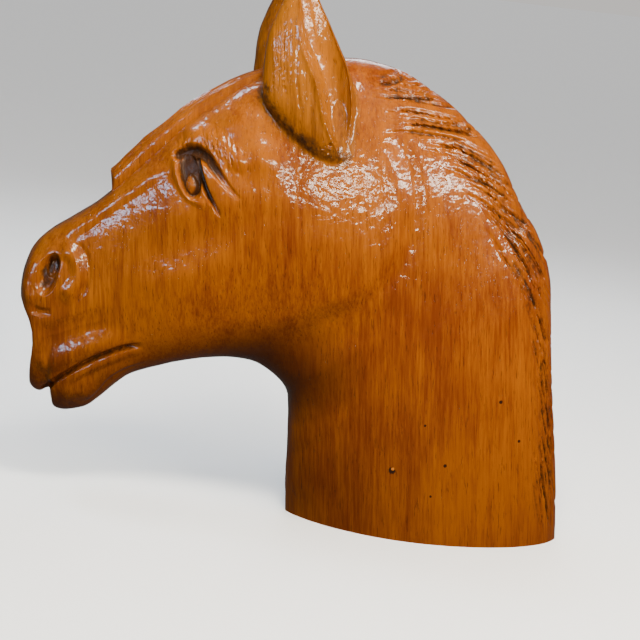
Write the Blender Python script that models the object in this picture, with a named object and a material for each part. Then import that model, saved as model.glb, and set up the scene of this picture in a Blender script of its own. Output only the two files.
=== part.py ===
"""Carved horse head bust: head and neck in one piece of wood, sawn flat below so that it stands."""

import math

import bpy
import numpy as np

# Driving sizes in metres
HEIGHT = 0.230
FACETS = 9700

# Every point and depth below is drawn on a side pattern 230 units tall, x along the head, z up
PATTERN = 230.0
UNIT = HEIGHT / PATTERN
SAWN = 9.0

# Block below the underside that the saw cut takes away: length, width, height
SAW_BLOCK = (400.0, 200.0, 40.0)

# Grid of the form before its facets are thinned out: sections along it, points around it
SECTIONS = 320
ROUND = 330
EAR_SECTIONS = 56
EAR_ROUND = 64

# Upper outline, from the front of the muzzle over the poll and down the back of the neck
CREST = [
    (-172.6, 72.0), (-175.8, 77.7), (-177.6, 85.1), (-176.9, 94.4), (-173.8, 103.0),
    (-167.6, 110.1), (-159.0, 116.5), (-149.6, 123.8), (-142.0, 131.6), (-130.4, 144.6),
    (-121.6, 154.4), (-114.0, 162.6), (-106.2, 169.4), (-97.0, 177.2), (-89.0, 182.4),
    (-80.0, 187.4), (-69.0, 191.2), (-56.0, 193.0), (-47.8, 193.2), (-41.2, 192.4),
    (-34.6, 191.1), (-27.8, 188.7), (-20.9, 185.0), (-12.3, 180.3), (-3.2, 173.6),
    (6.8, 165.4), (14.9, 156.0), (20.4, 147.0), (25.1, 139.5), (31.1, 132.2),
    (36.7, 121.9), (40.2, 112.6), (42.1, 101.9), (45.2, 81.9), (49.2, 59.1),
    (52.0, 45.0), (56.6, 18.0), (58.6, 1.0), (59.4, -SAWN),
]

# Lower outline, from the front of the muzzle under lips, chin, jaw and throat, down to the base
JAW = [
    (-172.6, 72.0), (-171.5, 66.5), (-170.3, 57.8), (-170.8, 48.2), (-170.0, 43.4),
    (-166.8, 41.6), (-162.9, 43.0), (-161.9, 42.2), (-161.4, 39.6), (-160.2, 35.6),
    (-157.0, 34.4), (-152.0, 35.1), (-146.9, 37.0), (-141.5, 41.8), (-136.1, 47.4),
    (-131.1, 52.0), (-125.7, 54.8), (-117.8, 57.9), (-108.0, 61.2), (-95.3, 64.0),
    (-85.5, 64.7), (-78.4, 63.8), (-71.7, 60.5), (-66.4, 56.2), (-63.6, 52.0),
    (-62.5, 46.0), (-60.8, 26.5), (-59.9, 13.2), (-58.5, 1.0), (-57.8, -SAWN),
]

# Muzzle front between nostrils and upper lip: heights, and how far it stands back there
MUZZLE_FRONT = (
    (46.0, 52.0, 58.0, 64.0, 69.0, 74.0, 78.0, 82.0),
    (0.0, 0.7, 1.8, 2.8, 3.0, 2.2, 0.9, 0.0),
)

# Stations: crest point, jaw point, half thickness, roundness of the upper and of the lower edge
STATIONS = [
    (-172.6, 72.0, -172.6, 72.0, 0.0, 1.0, 1.0),
    (-175.8, 77.7, -171.5, 66.5, 7.6, 0.95, 0.95),
    (-177.6, 85.1, -170.3, 57.8, 11.8, 0.9, 0.9),
    (-176.8, 94.1, -170.5, 49.4, 13.6, 0.85, 0.9),
    (-173.8, 103.0, -167.4, 42.4, 14.4, 0.8, 0.85),
    (-167.6, 110.1, -161.5, 41.0, 14.6, 0.65, 0.9),
    (-159.0, 116.5, -156.8, 34.8, 14.2, 0.55, 0.95),
    (-149.9, 124.6, -146.9, 37.0, 14.0, 0.5, 0.95),
    (-140.0, 133.8, -136.1, 47.4, 14.8, 0.5, 0.85),
    (-130.4, 144.6, -125.7, 54.8, 17.0, 0.55, 0.85),
    (-114.0, 162.6, -111.3, 60.4, 21.4, 0.6, 0.85),
    (-97.0, 177.2, -95.3, 64.7, 24.2, 0.65, 0.85),
    (-80.0, 187.4, -80.0, 64.2, 25.2, 0.7, 0.85),
    (-56.0, 193.0, -67.5, 57.2, 25.4, 0.8, 0.9),
    (-34.8, 190.6, -63.6, 52.0, 25.2, 0.9, 0.95),
    (-12.4, 180.0, -62.5, 46.0, 25.0, 1.0, 1.0),
    (6.6, 165.4, -62.0, 40.5, 24.8, 1.1, 1.05),
    (20.2, 147.0, -61.6, 35.0, 24.6, 1.15, 1.1),
    (33.6, 126.4, -61.1, 29.6, 24.6, 1.15, 1.1),
    (41.6, 101.9, -60.7, 24.6, 24.8, 1.1, 1.2),
    (44.6, 81.9, -60.3, 19.4, 25.2, 1.05, 1.25),
    (48.6, 59.1, -59.9, 13.2, 25.6, 1.1, 1.35),
    (53.6, 31.0, -59.2, 6.4, 26.2, 1.2, 1.45),
    (57.6, 1.0, -58.5, 1.0, 26.8, 1.25, 1.5),
    (58.4, -SAWN, -57.8, -SAWN, 26.8, 1.25, 1.5),
]

# The right ear stands this much further forward than the left one
FAR_EAR = 3.6

# Ear sections from the tip down: front edge x z, back edge x z, middle y, half thickness
EAR = [
    (-78.8, 229.4, -77.4, 229.6, 17.6, 0.8),
    (-81.0, 222.0, -74.0, 222.8, 17.7, 3.2),
    (-83.6, 213.3, -69.5, 214.6, 17.8, 5.2),
    (-86.0, 206.6, -64.6, 206.4, 17.9, 6.8),
    (-88.0, 199.0, -59.4, 197.4, 18.0, 8.0),
    (-88.6, 191.6, -55.3, 190.2, 18.0, 8.7),
    (-88.6, 184.0, -52.2, 182.0, 18.0, 9.0),
    (-87.6, 175.6, -50.4, 172.4, 18.0, 8.9),
    (-82.0, 166.8, -49.8, 163.6, 18.2, 8.4),
    (-74.6, 159.6, -49.6, 158.2, 18.4, 7.6),
    (-67.4, 154.4, -50.2, 154.4, 18.6, 6.6),
    (-60.4, 151.4, -52.6, 151.4, 18.8, 4.6),
]

# Hollow of the ear, from the tip down: front rim and back rim across the ear (-1 to 1), depth
HOLLOW = [
    (-0.10, 0.60, 0.0),
    (-0.12, 0.80, 0.8),
    (-0.16, 0.92, 2.3),
    (-0.16, 0.94, 3.8),
    (-0.10, 0.94, 5.2),
    (0.02, 0.94, 6.5),
    (0.16, 0.92, 7.2),
    (0.26, 0.90, 7.0),
    (0.34, 0.84, 4.5),
    (0.42, 0.78, 1.5),
    (0.46, 0.70, 0.0),
    (0.46, 0.60, 0.0),
]

# Forelock: distances along the upper outline, and its height over the forehead there
FORELOCK = ((72.5, 77.5, 96.0, 128.0, 150.0, 176.0), (0.0, 5.9, 6.3, 4.6, 2.1, 0.0))

# Half width of the forelock at its tip and by the ears, and the spacing of its strands
LOCK_TIP = 6.4
LOCK_ROOT = 7.6
STRAND = 3.0

# Gouge cuts of the mane: width, depth and the paths, from the neck out to the crest
CUT_WIDTH = 4.2
CUT_DEPTH = 1.9
MANE = [
    [(-43.0, 184.4), (-37.4, 186.0), (-30.0, 188.6)],
    [(-33.0, 185.6), (-24.4, 186.4)],
    [(-42.0, 180.2), (-28.3, 180.9), (-17.0, 181.6)],
    [(-38.0, 174.4), (-31.3, 175.6), (-16.8, 174.6), (-7.0, 173.6)],
    [(-34.0, 169.6), (-25.0, 171.0), (-10.1, 170.0), (1.0, 168.6)],
    [(-18.4, 164.0), (-7.5, 163.0), (0.0, 160.6), (11.0, 156.0)],
    [(-11.0, 159.2), (-2.2, 157.0), (7.0, 152.8), (15.0, 148.6)],
    [(-2.0, 153.4), (8.0, 149.4), (19.0, 143.6)],
    [(2.1, 147.9), (9.3, 145.2), (18.0, 139.4), (29.0, 133.4)],
    [(6.2, 143.6), (17.0, 134.6), (24.3, 128.8), (31.9, 120.8), (38.0, 112.0)],
    [(13.0, 134.6), (22.0, 124.4), (28.4, 116.6), (34.0, 107.0)],
    [(20.4, 125.4), (26.8, 118.0), (33.3, 110.0), (40.0, 100.0)],
    [(27.0, 112.0), (32.4, 104.0), (37.0, 94.6), (42.6, 84.0)],
    [(33.0, 97.0), (38.0, 86.8), (44.6, 73.0)],
    [(37.6, 86.0), (41.6, 76.0), (46.8, 62.0)],
    [(39.4, 75.0), (44.0, 64.0), (49.6, 47.0)],
    [(41.6, 62.6), (46.0, 51.0), (51.4, 35.0)],
    [(43.6, 49.4), (48.0, 38.0), (53.4, 22.0)],
    [(45.0, 38.6), (49.4, 24.0), (54.4, 8.0)],
]


def polyline(points, per_span=14):
    """Points along a centripetal Catmull-Rom curve through the given ones."""
    p = np.array(points, float)
    p = np.vstack([2 * p[0] - p[1], p, 2 * p[-1] - p[-2]])
    out = []
    for a, b, c, d in zip(p, p[1:], p[2:], p[3:]):
        t1 = max(np.linalg.norm(b - a), 1e-6) ** 0.5
        t2 = t1 + max(np.linalg.norm(c - b), 1e-6) ** 0.5
        t3 = t2 + max(np.linalg.norm(d - c), 1e-6) ** 0.5
        t = np.linspace(t1, t2, per_span, endpoint=False)[:, None]
        ab = (t1 - t) / t1 * a + t / t1 * b
        bc = (t2 - t) / (t2 - t1) * b + (t - t1) / (t2 - t1) * c
        cd = (t3 - t) / (t3 - t2) * c + (t - t2) / (t3 - t2) * d
        abc = (t2 - t) / t2 * ab + t / t2 * bc
        bcd = (t3 - t) / (t3 - t1) * bc + (t - t1) / (t3 - t1) * cd
        out.append((t2 - t) / (t2 - t1) * abc + (t - t1) / (t2 - t1) * bcd)
    return np.vstack(out + [p[-2:-1]])


def lengths(curve):
    return np.concatenate([[0.0], np.cumsum(np.linalg.norm(np.diff(curve, axis=0), axis=1))])


def monotone(knots, values, at):
    """Smooth interpolation that never overshoots its values."""
    knots = np.asarray(knots, float)
    values = np.asarray(values, float)
    step = np.diff(knots)
    rise = np.diff(values) / step
    slope = np.zeros(len(knots))
    same = rise[1:] * rise[:-1] > 0
    both = np.where(same, rise[1:] * rise[:-1], 1.0)
    slope[1:-1] = np.where(same, 2 * both / np.where(same, rise[1:] + rise[:-1], 1.0), 0.0)
    slope[0] = rise[0]
    slope[-1] = rise[-1]
    k = np.clip(np.searchsorted(knots, at, side="right") - 1, 0, len(step) - 1)
    h = step[k]
    t = (at - knots[k]) / h
    a = (1 + 2 * t) * (1 - t) ** 2 * values[k] + t * (1 - t) ** 2 * h * slope[k]
    return a + t * t * (3 - 2 * t) * values[k + 1] + t * t * (t - 1) * h * slope[k + 1]


def fade(edge0, edge1, value):
    t = np.clip((value - edge0) / (edge1 - edge0), 0.0, 1.0)
    return t * t * (3 - 2 * t)


def along(path, at, reach):
    """Distance to the path, side and share of its run, for the points that lie within reach of it."""
    line = polyline(path, 6) if len(path) > 2 else np.array(path, float)
    run = lengths(line)
    low = line.min(0) - reach
    high = line.max(0) + reach
    picked = np.nonzero(((at > low) & (at < high)).all(1))[0]
    near = at[picked]
    gap = np.full(len(near), 1e9)
    side = np.zeros(len(near))
    share = np.zeros(len(near))
    for k in range(len(line) - 1):
        a = line[k]
        d = line[k + 1] - a
        size = float(d @ d)
        t = np.clip((near - a) @ d / size, 0.0, 1.0)
        off = near - (a + t[:, None] * d)
        here = np.hypot(off[:, 0], off[:, 1])
        closer = here < gap
        gap = np.where(closer, here, gap)
        side = np.where(closer, np.sign(d[0] * off[:, 1] - d[1] * off[:, 0]), side)
        share = np.where(closer, (run[k] + t * (run[k + 1] - run[k])) / run[-1], share)
    return picked, gap, side, share


def groove(out, at, path, width, depth, start=0.12, end=0.12, least=0.35):
    """A cut along the path, deepest on it, that runs out towards both ends."""
    picked, gap, _, share = along(path, at, width)
    reach = np.clip(1 - gap / width, 0.0, 1.0) ** 1.3
    ends = fade(0.0, start, share) if start else 1.0
    ends = ends * (fade(0.0, end, 1 - share) if end else 1.0)
    out[picked] -= depth * reach * (3 - 2 * reach) * (least + (1 - least) * ends)


def ridge(out, at, path, width, height, start=0.2, end=0.2):
    picked, gap, _, share = along(path, at, width)
    reach = np.clip(1 - (gap / width) ** 2, 0.0, 1.0) ** 2
    out[picked] += height * reach * fade(-0.02, start, share) * fade(-0.02, end, 1 - share)


def shelf(out, at, path, reach, height, left=True, soft=1.2, end=0.15):
    """Raised ground on one side of the path that falls off at the path itself."""
    picked, gap, side, share = along(path, at, reach + soft)
    across = gap * side * (1 if left else -1)
    rise = fade(-soft, soft, across) * (1 - fade(0.0, reach, across))
    out[picked] += height * rise * fade(0.0, 0.15, share) * fade(0.0, end, 1 - share)


def mound(out, at, centre, radii, turn, height, steep=2.0):
    """A soft swelling, or with a negative height a soft hollow, of oval plan."""
    c, s = math.cos(math.radians(turn)), math.sin(math.radians(turn))
    d = at - np.array(centre)
    u = (d[:, 0] * c + d[:, 1] * s) / radii[0]
    v = (-d[:, 0] * s + d[:, 1] * c) / radii[1]
    out += height * np.clip(1 - u * u - v * v, 0.0, 1.0) ** steep


def pit(out, at, centre, radii, turn, depth, wall=0.6):
    """An oval hollow with steep walls and a flat floor. Where hollows overlap, the deepest counts."""
    c, s = math.cos(math.radians(turn)), math.sin(math.radians(turn))
    d = at - np.array(centre)
    u = (d[:, 0] * c + d[:, 1] * s) / radii[0]
    v = (-d[:, 0] * s + d[:, 1] * c) / radii[1]
    np.minimum(out, -depth * fade(0.0, wall, 1 - u * u - v * v), out=out)


def channel(out, at, path, widths, depths, sharp=1.6):
    """A hollow along a path whose half width and depth run through the given values."""
    picked, gap, _, share = along(path, at, max(widths))
    stops = np.linspace(0.0, 1.0, len(widths))
    reach = np.clip(1 - gap / np.interp(share, stops, widths), 0.0, 1.0)
    depth = np.interp(share, np.linspace(0.0, 1.0, len(depths)), depths)
    out[picked] = np.minimum(out[picked], -depth * fade(0.0, 1.0, reach * sharp))


def ball(out, at, centre, radii, turn, floor, top):
    """A dome that stands in a hollow, from the floor's level up to its top."""
    c, s = math.cos(math.radians(turn)), math.sin(math.radians(turn))
    d = at - np.array(centre)
    u = (d[:, 0] * c + d[:, 1] * s) / radii[0]
    v = (-d[:, 0] * s + d[:, 1] * c) / radii[1]
    q = u * u + v * v
    dome = floor + (top - floor) * np.sqrt(np.clip(1 - q, 0.0, 1.0))
    np.copyto(out, np.maximum(out, dome), where=q < 1)


def cut_cheek(out, at):
    """Cheek disc, its rear groove, the hollow below the jaw, cheekbone and temple."""
    cheek = [
        (-41.5, 176.0), (-35.0, 164.0), (-29.6, 156.9), (-26.0, 149.0), (-23.8, 139.0), (-23.8, 128.0),
        (-26.4, 116.0), (-32.6, 105.4), (-44.0, 95.0), (-58.0, 85.6), (-72.0, 78.0),
    ]
    cheekbone = [(-104.0, 127.0), (-94.0, 132.0), (-84.0, 137.0), (-70.0, 138.0)]
    nose = [(-162.0, 106.5), (-153.0, 113.6), (-141.9, 123.6), (-130.0, 133.6), (-121.0, 142.6)]
    mound(out, at, (-56.0, 122.0), (38.0, 46.0), -8.0, 1.8)
    shelf(out, at, cheek, 26.0, 1.3, left=False, soft=3.6, end=0.6)
    ridge(out, at, cheek, 6.0, -1.0, 0.2, 0.7)
    mound(out, at, (-56.0, 80.0), (36.0, 15.0), 33.0, -2.6)
    mound(out, at, (-18.0, 142.0), (15.0, 26.0), 20.0, 1.2)
    ridge(out, at, cheekbone, 10.0, 0.8)
    mound(out, at, (-86.0, 151.0), (15.0, 11.0), -24.0, 1.8)
    mound(out, at, (-96.0, 163.0), (12.0, 8.0), 34.0, 1.0)
    mound(out, at, (-112.0, 113.0), (30.0, 13.0), 30.0, -1.6)
    shelf(out, at, nose, 10.0, 1.0, left=True, soft=2.0)


def cut_eye(out, at):
    """Orbit and rim, then the socket, the hollow over the lid, the lid's crease and the ball."""
    rim = [
        (-119.6, 147.8), (-118.9, 144.7), (-117.9, 140.4), (-116.1, 136.6), (-113.8, 133.6),
        (-110.8, 131.5), (-107.4, 130.3), (-103.3, 129.1),
    ]
    brow = [(-119.0, 154.6), (-109.0, 157.0), (-99.6, 152.6), (-91.0, 144.6)]
    over_lid = [
        (-118.6, 147.6), (-113.9, 150.1), (-109.8, 149.7), (-106.4, 147.7), (-103.3, 144.5),
        (-99.2, 140.1), (-95.3, 136.5), (-90.9, 133.4),
    ]
    crease = [
        (-110.8, 147.2), (-109.1, 142.6), (-107.0, 138.0), (-104.6, 133.8), (-101.7, 129.7),
        (-98.9, 125.6),
    ]
    mound(out, at, (-104.0, 143.0), (24.0, 15.0), -20.0, 1.3)
    ridge(out, at, rim, 2.6, 0.8)
    ridge(out, at, brow, 5.4, 1.2)
    hollow = np.zeros(len(at))
    pit(hollow, at, (-113.2, 141.4), (5.0, 11.4), 17.6, 3.7, 0.6)
    channel(hollow, at, over_lid, (2.4, 3.4, 2.8, 1.8, 1.2), (3.0, 3.6, 2.4, 1.0, 0.0), 1.4)
    channel(hollow, at, crease, (1.8, 1.6, 1.3, 0.8), (3.8, 3.8, 2.4, 0.0), 1.4)
    ball(hollow, at, (-112.3, 137.0), (2.7, 4.4), 16.0, -3.7, -0.9)
    out += hollow


def cut_nostril(out, at):
    """Wing, front rim and the groove behind, then the hollow, deepest at its upper rear."""
    wing = [
        (-162.9, 105.1), (-159.6, 103.9), (-155.8, 101.4), (-153.8, 97.5), (-153.4, 93.4),
        (-154.7, 89.9), (-156.9, 86.8), (-160.2, 83.1),
    ]
    front = [
        (-169.8, 100.7), (-172.3, 96.3), (-173.5, 91.2), (-173.9, 87.0), (-172.4, 83.4),
        (-169.4, 81.6),
    ]
    behind = [
        (-158.3, 106.9), (-153.1, 103.4), (-151.4, 97.8), (-151.3, 92.0), (-153.2, 86.8),
        (-156.1, 82.7),
    ]
    notch = [(-172.0, 78.8), (-167.1, 77.7), (-161.9, 78.7)]
    mound(out, at, (-165.0, 94.0), (14.0, 16.0), 0.0, 1.2)
    ridge(out, at, wing, 4.8, 1.8)
    ridge(out, at, front, 3.6, 1.1)
    groove(out, at, behind, 3.0, 0.7, 0.3, 0.3, 0.0)
    groove(out, at, notch, 2.2, 0.9, 0.3, 0.5, 0.0)
    hollow = np.zeros(len(at))
    pit(hollow, at, (-164.8, 96.4), (3.6, 6.0), -10.0, 5.2, 0.8)
    pit(hollow, at, (-166.2, 92.6), (4.6, 8.8), -8.5, 3.2, 0.8)
    out += hollow


def cut_mouth(out, at):
    """Mouth line between the roll of the upper lip and the edge of the lower one."""
    mouth = [
        (-164.4, 43.4), (-161.0, 47.4), (-158.2, 50.3), (-154.7, 53.2), (-149.0, 57.6),
        (-143.2, 61.2), (-137.3, 64.3), (-131.4, 66.5), (-124.2, 68.2),
    ]
    groove(out, at, mouth, 1.7, 2.2, 0.0, 0.2, 0.0)
    shelf(out, at, mouth, 9.0, 1.2, soft=0.8, end=0.4)


def cut_chin(out, at):
    """Roll of the upper lip with the crease over it, edge of the lower lip, chin and its chamfer."""
    roll = [
        (-168.0, 55.0), (-163.0, 56.6), (-155.0, 61.0), (-147.6, 65.2), (-140.0, 69.0),
        (-131.0, 72.2),
    ]
    over = [(-169.0, 66.2), (-160.0, 69.4), (-150.0, 74.0), (-142.0, 77.4), (-134.0, 79.8)]
    lower = [
        (-155.2, 48.4), (-147.5, 54.4), (-141.7, 58.0), (-135.8, 61.3), (-130.0, 64.2),
        (-124.8, 66.0),
    ]
    chamfer = [
        (-149.4, 39.6), (-145.9, 41.6), (-141.8, 46.4), (-138.4, 51.8), (-132.5, 56.6),
        (-124.2, 60.1), (-117.5, 63.0),
    ]
    ridge(out, at, roll, 5.4, 1.5, 0.1, 0.4)
    groove(out, at, over, 6.0, 0.9, 0.2, 0.5, 0.0)
    ridge(out, at, lower, 2.4, 0.8, 0.2, 0.3)
    mound(out, at, (-151.0, 45.0), (11.0, 7.0), 34.0, 1.3)
    shelf(out, at, chamfer, 7.0, 0.9, soft=0.8, end=0.5)


def cut_mane(out, at):
    """Gouge strokes, deepest towards the crest."""
    for path in MANE:
        groove(out, at, path, CUT_WIDTH / 2, CUT_DEPTH, 0.3, 0.15, 0.4)


def relief(at, depth):
    """Height of the carving over the plain form, at pattern points this far from the middle."""
    flanks = np.zeros(len(at))
    cut_cheek(flanks, at)
    cut_eye(flanks, at)
    cut_nostril(flanks, at)
    cut_chin(flanks, at)
    lips = np.zeros(len(at))
    cut_mouth(lips, at)
    mane = np.zeros(len(at))
    cut_mane(mane, at)
    return flanks * fade(3.0, 9.0, depth) + lips * fade(0.0, 4.0, depth) + mane


def forelock(place, across):
    """Height of the forelock over the forehead, by distance along the crest and off the middle."""
    tall = np.interp(place, FORELOCK[0], FORELOCK[1])[:, None]
    place = place[:, None]
    wide = LOCK_TIP + (LOCK_ROOT - LOCK_TIP) * fade(FORELOCK[0][1], FORELOCK[0][4], place)
    lock = np.clip(1 - (np.abs(across) / wide) ** 4, 0.0, 1.0) ** 0.5
    waver = 0.25 * np.sin(place / 8)
    strand = 0.1 * np.cos(2 * math.pi * across / STRAND + waver)
    return tall * lock * (1 + strand * fade(0.0, STRAND, wide - np.abs(across)))


def body_points():
    """Rings of points from the front of the muzzle to below the base, before the relief is cut."""
    crest = polyline(CREST)
    jaw = polyline(JAW)
    crest_run = lengths(crest)
    jaw_run = lengths(jaw)
    rows = np.array(STATIONS)
    knots = np.arange(len(rows), dtype=float)
    on_crest = [crest_run[np.argmin(np.hypot(*(crest - row[:2]).T))] for row in rows]
    on_jaw = [jaw_run[np.argmin(np.hypot(*(jaw - row[2:4]).T))] for row in rows]
    fine = np.linspace(0, knots[-1], 2000)
    c = monotone(knots, on_crest, fine)
    j = monotone(knots, on_jaw, fine)
    pace = c / c[-1] + j / j[-1] + 0.4 * np.sqrt(fine / fine[-1])
    at = np.interp(np.linspace(pace[6], pace[-1], SECTIONS), pace, fine)
    c = monotone(knots, on_crest, at)
    j = monotone(knots, on_jaw, at)
    top = np.stack([np.interp(c, crest_run, crest[:, k]) for k in (0, 1)], 1)
    low = np.stack([np.interp(j, jaw_run, jaw[:, k]) for k in (0, 1)], 1)
    wide = monotone(knots, rows[:, 4], at)
    above = monotone(knots, rows[:, 5], at)
    below = monotone(knots, rows[:, 6], at)
    turn = np.linspace(0, 2 * math.pi, ROUND, endpoint=False)
    up = (1 - np.cos(turn)) / 2
    power = below[:, None] + (above - below)[:, None] * fade(0.2, 0.8, up)[None, :]
    y = -np.sign(np.sin(turn)) * wide[:, None] * np.abs(np.sin(turn)) ** power
    y[:, 0] = 0.0
    y[:, ROUND // 2] = 0.0
    flat = low[:, None, :] + (top - low)[:, None, :] * up[None, :, None]
    front = fade(-150.0, -170.0, flat[..., 0])
    flat[..., 0] += front * np.interp(flat[..., 1], MUZZLE_FRONT[0], MUZZLE_FRONT[1])
    return np.stack([flat[..., 0], y, flat[..., 1]], 2), c, up


def body_mesh():
    """The loft with its relief cut along the surface normals, closed at the muzzle and under the base."""
    points, c, up = body_points()
    around = np.roll(points, -1, 1) - np.roll(points, 1, 1)
    forward = np.gradient(points, axis=0)
    normal = np.cross(forward, around)
    normal /= np.maximum(np.linalg.norm(normal, axis=2, keepdims=True), 1e-9)
    flat = points.reshape(-1, 3)
    depth = np.abs(flat[:, 1])
    height = relief(flat[:, [0, 2]], depth).reshape(SECTIONS, ROUND)
    lock = forelock(c, points[..., 1]) * (up > 0.6)
    moved = points + normal * (height + lock)[..., None]
    count = SECTIONS * ROUND
    verts = [tuple(p) for p in moved.reshape(-1, 3) * UNIT]
    faces = []
    for i in range(SECTIONS - 1):
        a = i * ROUND
        b = a + ROUND
        for k in range(ROUND):
            n = (k + 1) % ROUND
            faces.append((a + k, b + k, b + n, a + n))
    faces.append(tuple(range(ROUND)))
    faces.append(tuple(reversed(range(count - ROUND, count))))
    return verts, faces


def ear_mesh(side):
    """One ear: oval sections from tip to root with the hollow scooped out of the outer face."""
    rows = np.array(EAR)
    cuts = np.array(HOLLOW)
    knots = np.arange(len(rows), dtype=float)
    at = np.linspace(0, knots[-1], EAR_SECTIONS)
    xl, zl, xr, zr, mid, thick = (monotone(knots, rows[:, k], at)[:, None] for k in range(6))
    front, back, deep = (monotone(knots, cuts[:, k], at)[:, None] for k in range(3))
    turn = np.linspace(0, 2 * math.pi, EAR_ROUND, endpoint=False)[None, :]
    across = -np.cos(turn)
    out = np.sin(turn)
    y = mid + thick * np.sign(out) * np.abs(out) ** 0.9
    place = np.clip((across - front) / np.maximum(back - front, 1e-3), 0.0, 1.0)
    y = y - deep * np.sin(math.pi * place) ** 0.6 * (out > 0)
    x = (xl + xr) / 2 + (xr - xl) / 2 * across
    z = (zl + zr) / 2 + (zr - zl) / 2 * across
    points = np.stack([x - FAR_EAR * (side > 0), y * side, z], 2) * UNIT
    rings, steps = x.shape
    verts = [tuple(p) for p in points.reshape(-1, 3)]
    faces = []
    for i in range(rings - 1):
        for k in range(steps):
            n = (k + 1) % steps
            faces.append((i * steps + k, i * steps + n, (i + 1) * steps + n, (i + 1) * steps + k))
    faces.append(tuple(reversed(range(steps))))
    faces.append(tuple(range((rings - 1) * steps, rings * steps)))
    if side < 0:
        faces = [tuple(reversed(f)) for f in faces]
    return verts, faces


def add_object(name, verts, faces, collection):
    mesh = bpy.data.meshes.new(name)
    mesh.from_pydata(verts, [], faces)
    mesh.validate()
    mesh.update()
    obj = bpy.data.objects.new(name, mesh)
    collection.objects.link(obj)
    return obj


def boolean(target, cutter, operation):
    modifier = target.modifiers.new(cutter.name, "BOOLEAN")
    modifier.operation = operation
    modifier.solver = "EXACT"
    modifier.object = cutter


def wood():
    material = bpy.data.materials.new("varnished_wood")
    material.use_nodes = True
    shader = material.node_tree.nodes["Principled BSDF"]
    shader.inputs["Base Color"].default_value = (0.42, 0.13, 0.02, 1.0)
    shader.inputs["Roughness"].default_value = 0.3
    material.diffuse_color = (0.42, 0.13, 0.02, 1.0)
    return material


def build():
    for obj in list(bpy.data.objects):
        bpy.data.objects.remove(obj)
    scene = bpy.context.scene.collection
    kept = bpy.data.collections.new("horse_head_bust")
    helpers = bpy.data.collections.new("cutters")
    scene.children.link(kept)
    scene.children.link(helpers)

    head = add_object("horse_head", *body_mesh(), kept)
    head.data.materials.append(wood())
    for name, side in (("ear_near", -1), ("ear_far", 1)):
        ear = add_object(name, *ear_mesh(side), helpers)
        boolean(head, ear, "UNION")

    # Fewer facets over the quiet surfaces, then the saw cut that leaves the underside flat
    bpy.context.view_layer.update()
    count = len(head.evaluated_get(bpy.context.evaluated_depsgraph_get()).data.loop_triangles)
    fewer = head.modifiers.new("facets", "DECIMATE")
    fewer.ratio = FACETS / count
    block = [side * UNIT for side in SAW_BLOCK]
    bpy.ops.mesh.primitive_cube_add(size=1, location=(0, 0, -block[2] / 2))
    saw = bpy.context.object
    saw.name = "saw"
    saw.scale = block
    for owner in list(saw.users_collection):
        owner.objects.unlink(saw)
    helpers.objects.link(saw)
    boolean(head, saw, "DIFFERENCE")
    for helper in helpers.objects:
        helper.hide_render = True
        helper.display_type = "WIRE"


build()
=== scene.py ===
"""Carved horse head bust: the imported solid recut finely, varnished, and set up in a plain studio."""

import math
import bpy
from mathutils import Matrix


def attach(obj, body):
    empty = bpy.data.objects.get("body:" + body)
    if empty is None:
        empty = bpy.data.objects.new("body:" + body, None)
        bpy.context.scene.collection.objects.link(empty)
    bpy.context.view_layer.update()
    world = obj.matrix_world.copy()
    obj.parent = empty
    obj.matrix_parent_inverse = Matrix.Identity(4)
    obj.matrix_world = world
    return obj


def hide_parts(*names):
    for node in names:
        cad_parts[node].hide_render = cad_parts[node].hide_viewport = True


bl_info = {
    "name": "Carved Horse Head Bust",
    "version": (1, 0, 0),
    "blender": (4, 5, 0),
    "location": "3D View > Sidebar > Horse Bust",
    "description": "Carves, gouges and varnishes a wooden horse head bust and sets it up in a plain studio",
    "category": "Object",
}

import bmesh
import bpy
import numpy as np
from bpy.props import FloatProperty, FloatVectorProperty, IntProperty, PointerProperty
from mathutils import Matrix, Vector
from mathutils.kdtree import KDTree

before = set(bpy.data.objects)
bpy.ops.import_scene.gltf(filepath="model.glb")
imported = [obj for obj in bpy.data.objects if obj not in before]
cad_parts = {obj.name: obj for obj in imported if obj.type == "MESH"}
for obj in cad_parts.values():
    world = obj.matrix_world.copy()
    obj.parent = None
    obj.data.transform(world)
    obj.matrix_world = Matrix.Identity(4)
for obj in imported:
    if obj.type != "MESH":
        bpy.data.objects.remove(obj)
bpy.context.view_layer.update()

# The side pattern is drawn 230 units tall, x along the head with the nose at the low end, z up
PATTERN = 230.0
BELOW = 9.0

# Upper outline, from the front of the muzzle over the poll and down the back of the neck
CREST = [
    (-172.6, 72.0), (-175.8, 77.7), (-177.6, 85.1), (-176.9, 94.4), (-173.8, 103.0),
    (-167.6, 110.1), (-159.0, 116.5), (-149.6, 123.8), (-142.0, 131.6), (-130.4, 144.6),
    (-121.6, 154.4), (-114.0, 162.6), (-106.2, 169.4), (-97.0, 177.2), (-89.0, 182.4),
    (-80.0, 187.4), (-69.0, 191.2), (-56.0, 193.0), (-47.8, 193.2), (-41.2, 192.4),
    (-34.6, 191.1), (-27.8, 188.7), (-20.9, 185.0), (-12.3, 180.3), (-3.2, 173.6),
    (6.8, 165.4), (14.9, 156.0), (20.4, 147.0), (25.1, 139.5), (31.1, 132.2),
    (36.7, 121.9), (40.2, 112.6), (42.1, 101.9), (45.2, 81.9), (49.2, 59.1),
    (52.0, 45.0), (56.6, 18.0), (58.6, 1.0), (59.4, -BELOW),
]

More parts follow.
